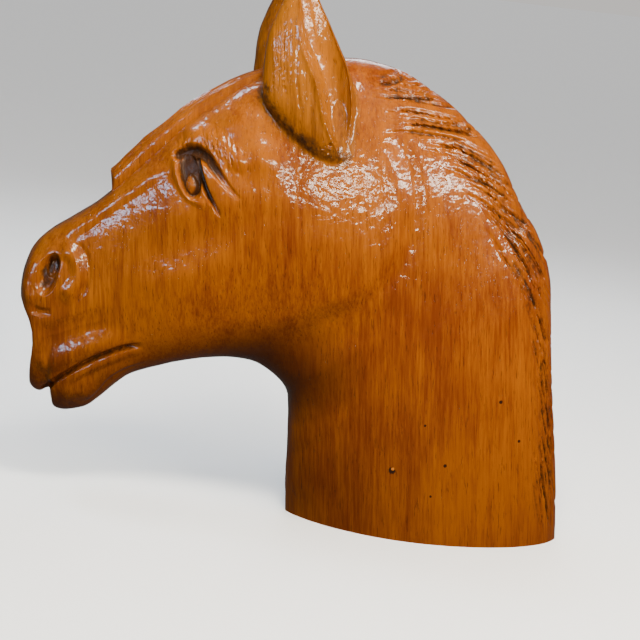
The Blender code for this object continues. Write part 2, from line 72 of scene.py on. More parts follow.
# Lower outline, from the front of the muzzle under lips, chin, jaw and throat, down to the base
JAW = [
    (-172.6, 72.0), (-171.5, 66.5), (-170.3, 57.8), (-170.8, 48.2), (-170.0, 43.4),
    (-166.8, 41.6), (-162.9, 43.0), (-161.9, 42.2), (-161.4, 39.6), (-160.2, 35.6),
    (-157.0, 34.4), (-152.0, 35.1), (-146.9, 37.0), (-141.5, 41.8), (-136.1, 47.4),
    (-131.1, 52.0), (-125.7, 54.8), (-117.8, 57.9), (-108.0, 61.2), (-95.3, 64.0),
    (-85.5, 64.7), (-78.4, 63.8), (-71.7, 60.5), (-66.4, 56.2), (-63.6, 52.0),
    (-62.5, 46.0), (-60.8, 26.5), (-59.9, 13.2), (-58.5, 1.0), (-57.8, -BELOW),
]

# Muzzle front between nostrils and upper lip: heights, and how far it stands back there
MUZZLE_FRONT = (
    (46.0, 52.0, 58.0, 64.0, 69.0, 74.0, 78.0, 82.0),
    (0.0, 0.7, 1.8, 2.8, 3.0, 2.2, 0.9, 0.0),
)

# Places along the head between which the muzzle front sets in
MUZZLE_BLEND = (-150.0, -170.0)

# Stations: crest point, jaw point, half thickness, roundness of the upper and of the lower edge
STATIONS = [
    (-172.6, 72.0, -172.6, 72.0, 0.0, 1.0, 1.0),
    (-175.8, 77.7, -171.5, 66.5, 7.6, 0.95, 0.95),
    (-177.6, 85.1, -170.3, 57.8, 11.8, 0.9, 0.9),
    (-176.8, 94.1, -170.5, 49.4, 13.6, 0.85, 0.9),
    (-173.8, 103.0, -167.4, 42.4, 14.4, 0.8, 0.85),
    (-167.6, 110.1, -161.5, 41.0, 14.6, 0.65, 0.9),
    (-159.0, 116.5, -156.8, 34.8, 14.2, 0.55, 0.95),
    (-149.9, 124.6, -146.9, 37.0, 14.0, 0.5, 0.95),
    (-140.0, 133.8, -136.1, 47.4, 14.8, 0.5, 0.85),
    (-130.4, 144.6, -125.7, 54.8, 17.0, 0.55, 0.85),
    (-114.0, 162.6, -111.3, 60.4, 21.4, 0.6, 0.85),
    (-97.0, 177.2, -95.3, 64.7, 24.2, 0.65, 0.85),
    (-80.0, 187.4, -80.0, 64.2, 25.2, 0.7, 0.85),
    (-56.0, 193.0, -67.5, 57.2, 25.4, 0.8, 0.9),
    (-34.8, 190.6, -63.6, 52.0, 25.2, 0.9, 0.95),
    (-12.4, 180.0, -62.5, 46.0, 25.0, 1.0, 1.0),
    (6.6, 165.4, -62.0, 40.5, 24.8, 1.1, 1.05),
    (20.2, 147.0, -61.6, 35.0, 24.6, 1.15, 1.1),
    (33.6, 126.4, -61.1, 29.6, 24.6, 1.15, 1.1),
    (41.6, 101.9, -60.7, 24.6, 24.8, 1.1, 1.2),
    (44.6, 81.9, -60.3, 19.4, 25.2, 1.05, 1.25),
    (48.6, 59.1, -59.9, 13.2, 25.6, 1.1, 1.35),
    (53.6, 31.0, -59.2, 6.4, 26.2, 1.2, 1.45),
    (57.6, 1.0, -58.5, 1.0, 26.8, 1.25, 1.5),
    (58.4, -BELOW, -57.8, -BELOW, 26.8, 1.25, 1.5),
]

# How closely the rings lie, by station
RING_DENSITY = ((0.0, 3.0, 11.0, 14.0, 24.0), (2.2, 1.7, 1.7, 0.9, 0.8))

# Points that stand for each span of a smoothed outline, of a carved path and of a gouge stroke
OUTLINE_SPAN = 14
PATH_SPAN = 8
STROKE_SPAN = 12

# Samples along the whole form, and the one of them where the first ring lies
FORM_SAMPLES = 4000
FIRST_SAMPLE = 12

# Depths from the middle between which the carving sets in, on the flanks and at the lips
FLANK_FADE = (3.0, 9.0)
LIP_FADE = (0.0, 4.0)

# Rings and spokes of an ear before it is thinned out
EAR_GRID = (260, 300)

# Ear: roundness of its sections, fullness of its hollow, height and width of the rim beside it
EAR_ROUNDNESS = 0.9
HOLLOW_FULLNESS = 0.6
RIM_HEIGHT = 0.1
RIM_WIDTH = 0.08

# The right ear stands this much further forward than the left one
FAR_EAR = 3.6

# Ear sections from the tip down: front edge x z, back edge x z, middle y, half thickness
EAR = [
    (-78.8, 229.4, -77.4, 229.6, 17.6, 0.8),
    (-81.0, 222.0, -74.0, 222.8, 17.7, 3.2),
    (-83.6, 213.3, -69.5, 214.6, 17.8, 5.2),
    (-86.0, 206.6, -64.6, 206.4, 17.9, 6.8),
    (-88.0, 199.0, -59.4, 197.4, 18.0, 8.0),
    (-88.6, 191.6, -55.3, 190.2, 18.0, 8.7),
    (-88.6, 184.0, -52.2, 182.0, 18.0, 9.0),
    (-87.6, 175.6, -50.4, 172.4, 18.0, 8.9),
    (-82.0, 166.8, -49.8, 163.6, 18.2, 8.4),
    (-74.6, 159.6, -49.6, 158.2, 18.4, 7.6),
    (-67.4, 154.4, -50.2, 154.4, 18.6, 6.6),
    (-60.4, 151.4, -52.6, 151.4, 18.8, 4.6),
]

# Hollow of the ear, from the tip down: front rim and back rim across the ear (-1 to 1), depth
HOLLOW = [
    (-0.10, 0.60, 0.0),
    (-0.12, 0.80, 0.8),
    (-0.16, 0.92, 2.3),
    (-0.16, 0.94, 3.8),
    (-0.10, 0.94, 5.2),
    (0.02, 0.94, 6.5),
    (0.16, 0.92, 7.2),
    (0.26, 0.90, 7.0),
    (0.34, 0.84, 4.5),
    (0.42, 0.78, 1.5),
    (0.46, 0.70, 0.0),
    (0.46, 0.60, 0.0),
]

# Forelock: distances along the upper outline, and its height over the forehead there
FORELOCK = ((72.5, 77.5, 96.0, 128.0, 150.0, 176.0), (0.0, 5.9, 6.3, 4.6, 2.1, 0.0))

# Half width of the forelock at its tip and by the ears, and the spacing of its strands
LOCK_TIP = 6.4
LOCK_ROOT = 7.6
STRAND = 3.0
FINE_STRAND = 1.3

# Share of a ring's height above which the forelock lies on it
LOCK_FROM = 0.6

# Gouge strokes of the mane: path from the neck out to the crest, and strength
MANE_STROKES = [
    ([(-43.0, 184.4), (-37.4, 186.0), (-30.0, 188.6)], 0.9),
    ([(-33.0, 185.6), (-24.4, 186.4)], 0.8),
    ([(-42.0, 180.2), (-28.3, 180.9), (-17.0, 181.6)], 1.0),
    ([(-38.0, 174.4), (-31.3, 175.6), (-16.8, 174.6), (-7.0, 173.6)], 1.0),
    ([(-34.0, 169.6), (-25.0, 171.0), (-10.1, 170.0), (1.0, 168.6)], 1.1),
    ([(-18.4, 164.0), (-7.5, 163.0), (0.0, 160.6), (11.0, 156.0)], 1.1),
    ([(-11.0, 159.2), (-2.2, 157.0), (7.0, 152.8), (15.0, 148.6)], 1.0),
    ([(-2.0, 153.4), (8.0, 149.4), (19.0, 143.6)], 0.9),
    ([(2.1, 147.9), (9.3, 145.2), (18.0, 139.4), (29.0, 133.4)], 1.1),
    ([(6.2, 143.6), (17.0, 134.6), (24.3, 128.8), (31.9, 120.8), (38.0, 112.0)], 1.1),
    ([(13.0, 134.6), (22.0, 124.4), (28.4, 116.6), (34.0, 107.0)], 1.0),
    ([(20.4, 125.4), (26.8, 118.0), (33.3, 110.0), (40.0, 100.0)], 1.0),
    ([(27.0, 112.0), (32.4, 104.0), (37.0, 94.6), (42.6, 84.0)], 1.0),
    ([(33.0, 97.0), (38.0, 86.8), (44.6, 73.0)], 1.0),
    ([(37.6, 86.0), (41.6, 76.0), (46.8, 62.0)], 1.0),
    ([(39.4, 75.0), (44.0, 64.0), (49.6, 47.0)], 1.0),
    ([(41.6, 62.6), (46.0, 51.0), (51.4, 35.0)], 1.0),
    ([(43.6, 49.4), (48.0, 38.0), (53.4, 22.0)], 1.0),
    ([(45.0, 38.6), (49.4, 24.0), (54.4, 8.0)], 1.0),
]

# Short chisel cuts over the eye
BROW_STROKES = [
    ([(-115.8, 153.8), (-115.0, 149.9)], 0.4),
    ([(-109.3, 156.2), (-107.6, 151.6)], 0.4),
    ([(-106.2, 156.9), (-104.4, 151.2)], 0.45),
    ([(-104.2, 156.4), (-102.3, 150.2)], 0.35),
    ([(-101.7, 155.5), (-99.7, 148.5)], 0.4),
    ([(-99.1, 153.8), (-96.7, 146.4)], 0.3),
    ([(-95.2, 150.6), (-93.2, 143.2)], 0.2),
]

# Thin grooves that run down the front of an ear, and the knot at its root
EAR_STROKES = [
    ([(-83.0, 208.1), (-81.4, 192.0), (-79.0, 176.3)], 0.34),
    ([(-76.6, 200.0), (-75.0, 184.0), (-72.0, 170.0)], 0.16),
    ([(-84.8, 190.0), (-84.0, 178.0)], 0.16),
    ([(-59.8, 160.4), (-59.0, 158.8)], 0.5),
]

# Line along which an ear grows out of the head, where dark wax and grime are laid together with painted shade
EAR_BASE = [
    (-87.6, 178.0), (-86.6, 174.2), (-82.7, 169.1), (-72.1, 161.3), (-61.5, 156.9), (-52.2, 155.1),
]

# The part of the lower outline that is the edge of the jaw
JAW_EDGE = JAW[10:24]

# How dark each kind of hollow is painted, dark wax and grime together with painted shade, beside the eye's
# full 1
NOSTRIL_DIRT_AND_SHADE = 0.72
MOUTH_DIRT_AND_SHADE = 0.65
EAR_ROOT_DIRT_AND_SHADE = 0.62
GOUGE_DIRT_AND_SHADE = 0.95

# How deep the stain together with painted shade lies low on the neck, how dark the painted shade under the
# jaw is, and how golden the nose is beside the ears
NECK_STAIN_AND_SHADE = 0.5
JAW_SHADE = 0.65
NOSE_GOLD = 0.45

# Patterns of the wood, in waves a metre: twice across the grain, then along it
BROAD = (22.0, 22.0, 14.0)
BANDS = (170.0, 170.0, 9.0)
FIBRE = (1100.0, 1100.0, 60.0)
PORES = (2000.0, 2000.0, 150.0)
GRIME = (420.0, 420.0, 300.0)
PORE_BROWN = (0.04, 0.009, 0.002, 1.0)

# Marks on the left of the neck, in metres: place along and up, radius, colour
MARK_BROWN = (0.03, 0.008, 0.002, 1.0)
WEAR_SPOTS = (
    (-0.0179, 0.0294, 0.0016, (0.030, 0.010, 0.004, 1.0)),
    (-0.0176, 0.0302, 0.0007, (0.75, 0.22, 0.02, 1.0)),
    (0.0236, 0.0622, 0.0009, MARK_BROWN),
    (0.0036, 0.0340, 0.0008, MARK_BROWN),
    (-0.0008, 0.0205, 0.0006, MARK_BROWN),
    (-0.0068, 0.0500, 0.0006, MARK_BROWN),
    (0.0340, 0.0456, 0.0007, MARK_BROWN),
)

# Inputs of the gouge tree, by the setting that fills each
GOUGE_INPUTS = {
    "stroke_width": ("Stroke Width", "NodeSocketFloat"),
    "stroke_depth": ("Stroke Depth", "NodeSocketFloat"),
    "strands": ("Strands", "NodeSocketInt"),
    "strand_spread": ("Strand Spread", "NodeSocketFloat"),
    "strand_strength": ("Strand Strength", "NodeSocketFloat"),
    "tool_marks": ("Tool Marks", "NodeSocketFloat"),
    "mark_size": ("Mark Size", "NodeSocketFloat"),
    "seed": ("Seed", "NodeSocketInt"),
}

# Spacing of the dots that a stroke is made of, and a distance well past the flanks, in metres
DOT_GAP = 0.0003
OUTSIDE = 0.1

# Where two facets meet at more than this, in degrees, the edge stays sharp
SHARP_EDGE = 60.0

# Two vertices closer than this, in metres, are the same one
SAME_PLACE = 1e-6

# Lights: azimuth and elevation in degrees, distance, width and height in metres, power, colour
LIT_MIDDLE = Vector((-0.055, 0.0, 0.115))
LIGHTS = (
    ("key", 0.0, 56.0, 0.45, (0.12, 0.12), 2.05, (1.0, 0.93, 0.80)),
    ("window_front", 7.0, 11.0, 0.70, (0.20, 0.040), 1.4, (1.0, 0.87, 0.66)),
    ("window_right", 50.0, 24.0, 0.70, (0.40, 0.065), 3.9, (1.0, 0.88, 0.70)),
    ("sky_left", -42.0, 12.0, 0.70, (0.24, 0.08), 1.2, (0.45, 0.70, 1.0)),
    ("back", 172.0, 38.0, 0.70, (0.36, 0.24), 1.8, (0.88, 0.94, 1.0)),
    ("sky_behind", -110.0, 50.0, 0.70, (0.12, 0.12), 1.0, (0.62, 0.80, 1.0)),
)

# Picture: its width and where the middle of the base stands, in picture elements, and film width in mm
PICTURE = 640.0
BASE_IN_PICTURE = (420.0, 523.5)
SENSOR = 36.0

# Half the width of the floor, in metres, and how soft the wash of light on it is, in degrees
FLOOR_REACH = 60.0
WASH_SOFTNESS = 70.0


def smooth_path(points, per_span=OUTLINE_SPAN):
    """Points along a centripetal Catmull-Rom curve through the given ones."""
    p = np.array(points, float)
    p = np.vstack([2 * p[0] - p[1], p, 2 * p[-1] - p[-2]])
    out = []
    for a, b, c, d in zip(p, p[1:], p[2:], p[3:]):
        t1 = max(np.linalg.norm(b - a), 1e-6) ** 0.5
        t2 = t1 + max(np.linalg.norm(c - b), 1e-6) ** 0.5
        t3 = t2 + max(np.linalg.norm(d - c), 1e-6) ** 0.5
        t = np.linspace(t1, t2, per_span, endpoint=False)[:, None]
        ab = (t1 - t) / t1 * a + t / t1 * b
        bc = (t2 - t) / (t2 - t1) * b + (t - t1) / (t2 - t1) * c
        cd = (t3 - t) / (t3 - t2) * c + (t - t2) / (t3 - t2) * d
        abc = (t2 - t) / t2 * ab + t / t2 * bc
        bcd = (t3 - t) / (t3 - t1) * bc + (t - t1) / (t3 - t1) * cd
        out.append((t2 - t) / (t2 - t1) * abc + (t - t1) / (t2 - t1) * bcd)
    return np.vstack(out + [p[-2:-1]])


def run_lengths(curve):
    """Length of the run from the first point up to each one."""
    return np.concatenate([[0.0], np.cumsum(np.linalg.norm(np.diff(curve, axis=0), axis=1))])


def monotone(knots, values, at):
    """Smooth interpolation that never overshoots its values."""
    knots = np.asarray(knots, float)
    values = np.asarray(values, float)
    step = np.diff(knots)
    rise = np.diff(values) / step
    slope = np.zeros(len(knots))
    same = rise[1:] * rise[:-1] > 0
    both = np.where(same, rise[1:] * rise[:-1], 1.0)
    slope[1:-1] = np.where(same, 2 * both / np.where(same, rise[1:] + rise[:-1], 1.0), 0.0)
    slope[0] = rise[0]
    slope[-1] = rise[-1]
    k = np.clip(np.searchsorted(knots, at, side="right") - 1, 0, len(step) - 1)
    h = step[k]
    t = (at - knots[k]) / h
    a = (1 + 2 * t) * (1 - t) ** 2 * values[k] + t * (1 - t) ** 2 * h * slope[k]
    return a + t * t * (3 - 2 * t) * values[k + 1] + t * t * (t - 1) * h * slope[k + 1]


def fade(edge0, edge1, value):
    """Rises softly from 0 at the first edge to 1 at the second."""
    t = np.clip((value - edge0) / (edge1 - edge0), 0.0, 1.0)
    return t * t * (3 - 2 * t)


def along(path, at, reach):
    """Distance to the path, side and share of its run, for the points that lie within reach of it."""
    line = smooth_path(path, PATH_SPAN) if len(path) > 2 else np.array(path, float)
    run = run_lengths(line)
    low = line.min(0) - reach
    high = line.max(0) + reach
    picked = np.nonzero(((at > low) & (at < high)).all(1))[0]
    near = at[picked]
    gap = np.full(len(near), 1e9)
    side = np.zeros(len(near))
    share = np.zeros(len(near))
    for k in range(len(line) - 1):
        a = line[k]
        d = line[k + 1] - a
        size = float(d @ d)
        t = np.clip((near - a) @ d / size, 0.0, 1.0)
        off = near - (a + t[:, None] * d)
        here = np.hypot(off[:, 0], off[:, 1])
        closer = here < gap
        gap = np.where(closer, here, gap)
        side = np.where(closer, np.sign(d[0] * off[:, 1] - d[1] * off[:, 0]), side)
        share = np.where(closer, (run[k] + t * (run[k + 1] - run[k])) / run[-1], share)
    return picked, gap, side, share


def groove(out, at, path, width, depth, start=0.12, end=0.12, least=0.35):
    """A cut along the path, deepest on it, that runs out towards both ends."""
    picked, gap, _, share = along(path, at, width)
    reach = np.clip(1 - gap / width, 0.0, 1.0) ** 1.3
    ends = fade(0.0, start, share) if start else 1.0
    ends = ends * (fade(0.0, end, 1 - share) if end else 1.0)
    out[picked] -= depth * reach * (3 - 2 * reach) * (least + (1 - least) * ends)


def ridge(out, at, path, width, height, start=0.2, end=0.2):
    """A roll along the path, or with a negative height a valley, that runs out at both ends."""
    picked, gap, _, share = along(path, at, width)
    reach = np.clip(1 - (gap / width) ** 2, 0.0, 1.0) ** 2
    out[picked] += height * reach * fade(-0.02, start, share) * fade(-0.02, end, 1 - share)


def shelf(out, at, path, reach, height, left=True, soft=1.2, end=0.15):
    """Raised ground on one side of the path that falls off at the path itself."""
    picked, gap, side, share = along(path, at, reach + soft)
    across = gap * side * (1 if left else -1)
    rise = fade(-soft, soft, across) * (1 - fade(0.0, reach, across))
    out[picked] += height * rise * fade(0.0, 0.15, share) * fade(0.0, end, 1 - share)


def in_oval(at, centre, radii, turn):
    """Both coordinates of the points in a turned oval, whose edge lies at distance 1."""
    c, s = math.cos(math.radians(turn)), math.sin(math.radians(turn))
    d = at - np.array(centre)
    return (d[:, 0] * c + d[:, 1] * s) / radii[0], (-d[:, 0] * s + d[:, 1] * c) / radii[1]


def mound(out, at, centre, radii, turn, height, steep=2.0):
    """A soft swelling, or with a negative height a soft hollow, of oval plan."""
    u, v = in_oval(at, centre, radii, turn)
    out += height * np.clip(1 - u * u - v * v, 0.0, 1.0) ** steep


def pit(out, at, centre, radii, turn, depth, wall=0.6):
    """An oval hollow with steep walls and a flat floor. Where hollows overlap, the deepest counts."""
    u, v = in_oval(at, centre, radii, turn)
    np.minimum(out, -depth * fade(0.0, wall, 1 - u * u - v * v), out=out)


def channel(out, at, path, widths, depths, sharp=1.6):
    """A hollow along a path whose half width and depth run through the given values."""
    picked, gap, _, share = along(path, at, max(widths))
    stops = np.linspace(0.0, 1.0, len(widths))
    reach = np.clip(1 - gap / np.interp(share, stops, widths), 0.0, 1.0)
    depth = np.interp(share, np.linspace(0.0, 1.0, len(depths)), depths)
    out[picked] = np.minimum(out[picked], -depth * fade(0.0, 1.0, reach * sharp))


def ball(out, at, centre, radii, turn, floor, top):
    """A dome that stands in a hollow, from the floor's level up to its top."""
    u, v = in_oval(at, centre, radii, turn)
    q = u * u + v * v
    dome = floor + (top - floor) * np.sqrt(np.clip(1 - q, 0.0, 1.0))
    np.copyto(out, np.maximum(out, dome), where=q < 1)


def cut_cheek(out, at):
    """Cheek disc, its rear groove, the hollow below the jaw, cheekbone and temple."""
    cheek = [
        (-41.5, 176.0), (-35.0, 164.0), (-29.6, 156.9), (-26.0, 149.0), (-23.8, 139.0), (-23.8, 128.0),
        (-26.4, 116.0), (-32.6, 105.4), (-44.0, 95.0), (-58.0, 85.6), (-72.0, 78.0),
    ]
    cheekbone = [(-104.0, 127.0), (-94.0, 132.0), (-84.0, 137.0), (-70.0, 138.0)]
    nose = [(-162.0, 106.5), (-153.0, 113.6), (-141.9, 123.6), (-130.0, 133.6), (-121.0, 142.6)]
    mound(out, at, (-56.0, 122.0), (38.0, 46.0), -8.0, 1.8)
    shelf(out, at, cheek, 26.0, 1.3, left=False, soft=3.6, end=0.6)
    ridge(out, at, cheek, 6.0, -1.0, 0.2, 0.7)
    mound(out, at, (-56.0, 80.0), (36.0, 15.0), 33.0, -2.6)
    mound(out, at, (-18.0, 142.0), (15.0, 26.0), 20.0, 1.2)
    ridge(out, at, cheekbone, 10.0, 0.8)
    mound(out, at, (-86.0, 151.0), (15.0, 11.0), -24.0, 1.8)
    mound(out, at, (-96.0, 163.0), (12.0, 8.0), 34.0, 1.0)
    mound(out, at, (-112.0, 113.0), (30.0, 13.0), 30.0, -1.6)
    shelf(out, at, nose, 10.0, 1.0, left=True, soft=2.0)


def eye_hollow(at):
    """The socket, the hollow over the lid, the lid's crease and the ball."""
    over_lid = [
        (-118.6, 147.6), (-113.9, 150.1), (-109.8, 149.7), (-106.4, 147.7), (-103.3, 144.5),
        (-99.2, 140.1), (-95.3, 136.5), (-90.9, 133.4),
    ]
    crease = [
        (-110.8, 147.2), (-109.1, 142.6), (-107.0, 138.0), (-104.6, 133.8), (-101.7, 129.7),
        (-98.9, 125.6),
    ]
    hollow = np.zeros(len(at))
    pit(hollow, at, (-113.2, 141.4), (5.0, 11.4), 17.6, 3.7, 0.6)
    channel(hollow, at, over_lid, (2.4, 3.4, 2.8, 1.8, 1.2), (3.0, 3.6, 2.4, 1.0, 0.0), 1.4)
    channel(hollow, at, crease, (1.8, 1.6, 1.3, 0.8), (3.8, 3.8, 2.4, 0.0), 1.4)
    ball(hollow, at, (-112.3, 137.0), (2.7, 4.4), 16.0, -3.7, -0.9)
    return hollow


def cut_eye(out, at):
    """Orbit, rim and brow around the hollow of the eye."""
    rim = [
        (-119.6, 147.8), (-118.9, 144.7), (-117.9, 140.4), (-116.1, 136.6), (-113.8, 133.6),
        (-110.8, 131.5), (-107.4, 130.3), (-103.3, 129.1),
    ]
    brow = [(-119.0, 154.6), (-109.0, 157.0), (-99.6, 152.6), (-91.0, 144.6)]
    mound(out, at, (-104.0, 143.0), (24.0, 15.0), -20.0, 1.3)
    ridge(out, at, rim, 2.6, 0.8)
    ridge(out, at, brow, 5.4, 1.2)
    out += eye_hollow(at)


def nostril_hollow(at):
    """The hollow of the nostril, deepest at its upper rear."""
    hollow = np.zeros(len(at))
    pit(hollow, at, (-164.8, 96.4), (3.6, 6.0), -10.0, 5.2, 0.8)
    pit(hollow, at, (-166.2, 92.6), (4.6, 8.8), -8.5, 3.2, 0.8)
    return hollow


def cut_nostril(out, at):
    """Wing, front rim and the groove behind, around the hollow of the nostril."""
    wing = [
        (-162.9, 105.1), (-159.6, 103.9), (-155.8, 101.4), (-153.8, 97.5), (-153.4, 93.4),
        (-154.7, 89.9), (-156.9, 86.8), (-160.2, 83.1),
    ]
    front = [
        (-169.8, 100.7), (-172.3, 96.3), (-173.5, 91.2), (-173.9, 87.0), (-172.4, 83.4),
        (-169.4, 81.6),
    ]
    behind = [
        (-158.3, 106.9), (-153.1, 103.4), (-151.4, 97.8), (-151.3, 92.0), (-153.2, 86.8),
        (-156.1, 82.7),
    ]
    notch = [(-172.0, 78.8), (-167.1, 77.7), (-161.9, 78.7)]
    mound(out, at, (-165.0, 94.0), (14.0, 16.0), 0.0, 1.2)
    ridge(out, at, wing, 4.8, 1.8)
    ridge(out, at, front, 3.6, 1.1)
    groove(out, at, behind, 3.0, 0.7, 0.3, 0.3, 0.0)
    groove(out, at, notch, 2.2, 0.9, 0.3, 0.5, 0.0)
    out += nostril_hollow(at)


def cut_mouth(out, at):
    """Mouth line between the roll of the upper lip and the edge of the lower one."""
    mouth = [
        (-164.4, 43.4), (-161.0, 47.4), (-158.2, 50.3), (-154.7, 53.2), (-149.0, 57.6),
        (-143.2, 61.2), (-137.3, 64.3), (-131.4, 66.5), (-124.2, 68.2),
    ]
    groove(out, at, mouth, 1.7, 2.2, 0.0, 0.2, 0.0)
    shelf(out, at, mouth, 9.0, 1.2, soft=0.8, end=0.4)


def cut_chin(out, at):
    """Roll of the upper lip with the crease over it, edge of the lower lip, chin and its chamfer."""
    roll = [
        (-168.0, 55.0), (-163.0, 56.6), (-155.0, 61.0), (-147.6, 65.2), (-140.0, 69.0),
        (-131.0, 72.2),
    ]
    over = [(-169.0, 66.2), (-160.0, 69.4), (-150.0, 74.0), (-142.0, 77.4), (-134.0, 79.8)]
    lower = [
        (-155.2, 48.4), (-147.5, 54.4), (-141.7, 58.0), (-135.8, 61.3), (-130.0, 64.2),
        (-124.8, 66.0),
    ]
    chamfer = [
        (-149.4, 39.6), (-145.9, 41.6), (-141.8, 46.4), (-138.4, 51.8), (-132.5, 56.6),
        (-124.2, 60.1), (-117.5, 63.0),
    ]
    ridge(out, at, roll, 5.4, 1.5, 0.1, 0.4)
    groove(out, at, over, 6.0, 0.9, 0.2, 0.5, 0.0)
    ridge(out, at, lower, 2.4, 0.8, 0.2, 0.3)
    mound(out, at, (-151.0, 45.0), (11.0, 7.0), 34.0, 1.3)
    shelf(out, at, chamfer, 7.0, 0.9, soft=0.8, end=0.5)


def relief(at, depth):
    """Height of the carving over the plain form, at side pattern points that lie this far from the middle."""
    flanks = np.zeros(len(at))
    cut_cheek(flanks, at)
    cut_eye(flanks, at)
    cut_nostril(flanks, at)
    cut_chin(flanks, at)
    lips = np.zeros(len(at))
    cut_mouth(lips, at)
    return flanks * fade(*FLANK_FADE, depth) + lips * fade(*LIP_FADE, depth)


def forelock(place, across):
    """Height of the forelock over the forehead, by distance along the crest and off the middle."""
    tall = np.interp(place, FORELOCK[0], FORELOCK[1])[:, None]
    place = place[:, None]
    wide = LOCK_TIP + (LOCK_ROOT - LOCK_TIP) * fade(FORELOCK[0][1], FORELOCK[0][4], place)
    lock = np.clip(1 - (np.abs(across) / wide) ** 4, 0.0, 1.0) ** 0.5
    waver = 0.25 * np.sin(place / 8)
    strand = 0.1 * np.cos(2 * math.pi * across / STRAND + waver)
    strand = strand + 0.05 * np.cos(2 * math.pi * across / FINE_STRAND + 6 * waver + np.sin(place / 5))
    return tall * lock * (1 + strand * fade(0.0, STRAND, wide - np.abs(across)))


def plain_form(rings, spokes):
    """Rings of points from the front of the muzzle to below the base, before the relief is cut."""
    crest = smooth_path(CREST)
    jaw = smooth_path(JAW)
    crest_run = run_lengths(crest)
    jaw_run = run_lengths(jaw)
    rows = np.array(STATIONS)
    knots = np.arange(len(rows), dtype=float)
    on_crest = [crest_run[np.argmin(np.hypot(*(crest - row[:2]).T))] for row in rows]
    on_jaw = [jaw_run[np.argmin(np.hypot(*(jaw - row[2:4]).T))] for row in rows]
    fine = np.linspace(0, knots[-1], FORM_SAMPLES)
    run = monotone(knots, on_crest, fine) + monotone(knots, on_jaw, fine)
    density = np.interp(fine, *RING_DENSITY)
    pace = np.concatenate([[0.0], np.cumsum(np.diff(run) * density[1:])])
    at = np.interp(np.linspace(pace[FIRST_SAMPLE], pace[-1], rings), pace, fine)
    c = monotone(knots, on_crest, at)
    j = monotone(knots, on_jaw, at)
    top = np.stack([np.interp(c, crest_run, crest[:, k]) for k in (0, 1)], 1)
    low = np.stack([np.interp(j, jaw_run, jaw[:, k]) for k in (0, 1)], 1)
    wide = monotone(knots, rows[:, 4], at)
    above = monotone(knots, rows[:, 5], at)
    below = monotone(knots, rows[:, 6], at)
    turn = np.linspace(0, 2 * math.pi, spokes, endpoint=False)
    up = (1 - np.cos(turn)) / 2
    power = below[:, None] + (above - below)[:, None] * fade(0.2, 0.8, up)[None, :]
    y = -np.sign(np.sin(turn)) * wide[:, None] * np.abs(np.sin(turn)) ** power
    y[:, 0] = 0.0
    y[:, spokes // 2] = 0.0
    flat = low[:, None, :] + (top - low)[:, None, :] * up[None, :, None]
    front = fade(*MUZZLE_BLEND, flat[..., 0])
    flat[..., 0] += front * np.interp(flat[..., 1], MUZZLE_FRONT[0], MUZZLE_FRONT[1])
    return np.stack([flat[..., 0], y, flat[..., 1]], 2), c, up


def head_points(rings, spokes):
    """The plain form with its relief cut along the surface normals, both sides alike."""
    points, c, up = plain_form(rings, spokes)
    around = np.roll(points, -1, 1) - np.roll(points, 1, 1)
    forward = np.gradient(points, axis=0)
    normal = np.cross(forward, around)
    normal /= np.maximum(np.linalg.norm(normal, axis=2, keepdims=True), 1e-9)
    half = spokes // 2 + 1
    side = points[:, :half].reshape(-1, 3)
    height = relief(side[:, [0, 2]], np.abs(side[:, 1])).reshape(rings, half)
    height = np.concatenate([height, height[:, half - 2:0:-1]], 1)
    lock = forelock(c, points[..., 1]) * (up > LOCK_FROM)
    return points + normal * (height + lock)[..., None]


def ear_points(side, rings, spokes):
    """One ear: oval sections from tip to root with the hollow scooped out of the outer face."""
    rows = np.array(EAR)
    cuts = np.array(HOLLOW)
    knots = np.arange(len(rows), dtype=float)
    at = np.linspace(0, knots[-1], rings)
    xl, zl, xr, zr, mid, thick = (monotone(knots, rows[:, k], at)[:, None] for k in range(6))
    front, back, deep = (monotone(knots, cuts[:, k], at)[:, None] for k in range(3))
    turn = np.linspace(0, 2 * math.pi, spokes, endpoint=False)[None, :]
    across = -np.cos(turn)
    out = np.sin(turn)
    y = mid + thick * np.sign(out) * np.abs(out) ** EAR_ROUNDNESS
    place = np.clip((across - front) / np.maximum(back - front, 1e-3), 0.0, 1.0)
    y = y - deep * np.sin(math.pi * place) ** HOLLOW_FULLNESS * (out > 0)
    y = y + RIM_HEIGHT * deep * np.exp(-((across - front) / RIM_WIDTH) ** 2) * (out > 0)
    x = (xl + xr) / 2 + (xr - xl) / 2 * across
    z = (zl + zr) / 2 + (zr - zl) / 2 * across
    return np.stack([x - FAR_EAR * (side > 0), y * side, z], 2)


def ring_mesh(name, points, outward=True):
    """A closed mesh through rings of points, with a flat cap on the first and the last ring."""
    rings, spokes = points.shape[:2]
    index = np.arange(rings * spokes).reshape(rings, spokes)
    beside = np.roll(index, -1, 1)
    quads = np.stack([index[:-1], index[1:], beside[1:], beside[:-1]], 2).reshape(-1, 4)
    faces = quads.tolist() + [index[0].tolist(), index[-1][::-1].tolist()]
    if not outward:
        faces = [face[::-1] for face in faces]
    mesh = bpy.data.meshes.new(name)
    mesh.from_pydata(points.reshape(-1, 3).tolist(), [], faces)
    mesh.update()
    return mesh


def show(name, data):
    """A new object in the scene."""
    obj = bpy.data.objects.new(name, data)
    bpy.context.scene.collection.objects.link(obj)
    return obj


def take(name):
    """The object of that name, or an error where its operator hasn't run yet."""
    obj = bpy.data.objects.get(name)
    if obj is None:
        raise RuntimeError(name + " isn't there yet: run the operators in the panel's order")
    return obj


def bake_modifiers(obj):
    """Turns what the modifiers give into the object's own plain mesh."""
    bpy.context.view_layer.update()
    graph = bpy.context.evaluated_depsgraph_get()
    mesh = bpy.data.meshes.new_from_object(obj.evaluated_get(graph), depsgraph=graph)
    old = obj.data
    obj.modifiers.clear()
    obj.data = mesh
    bpy.data.meshes.remove(old)


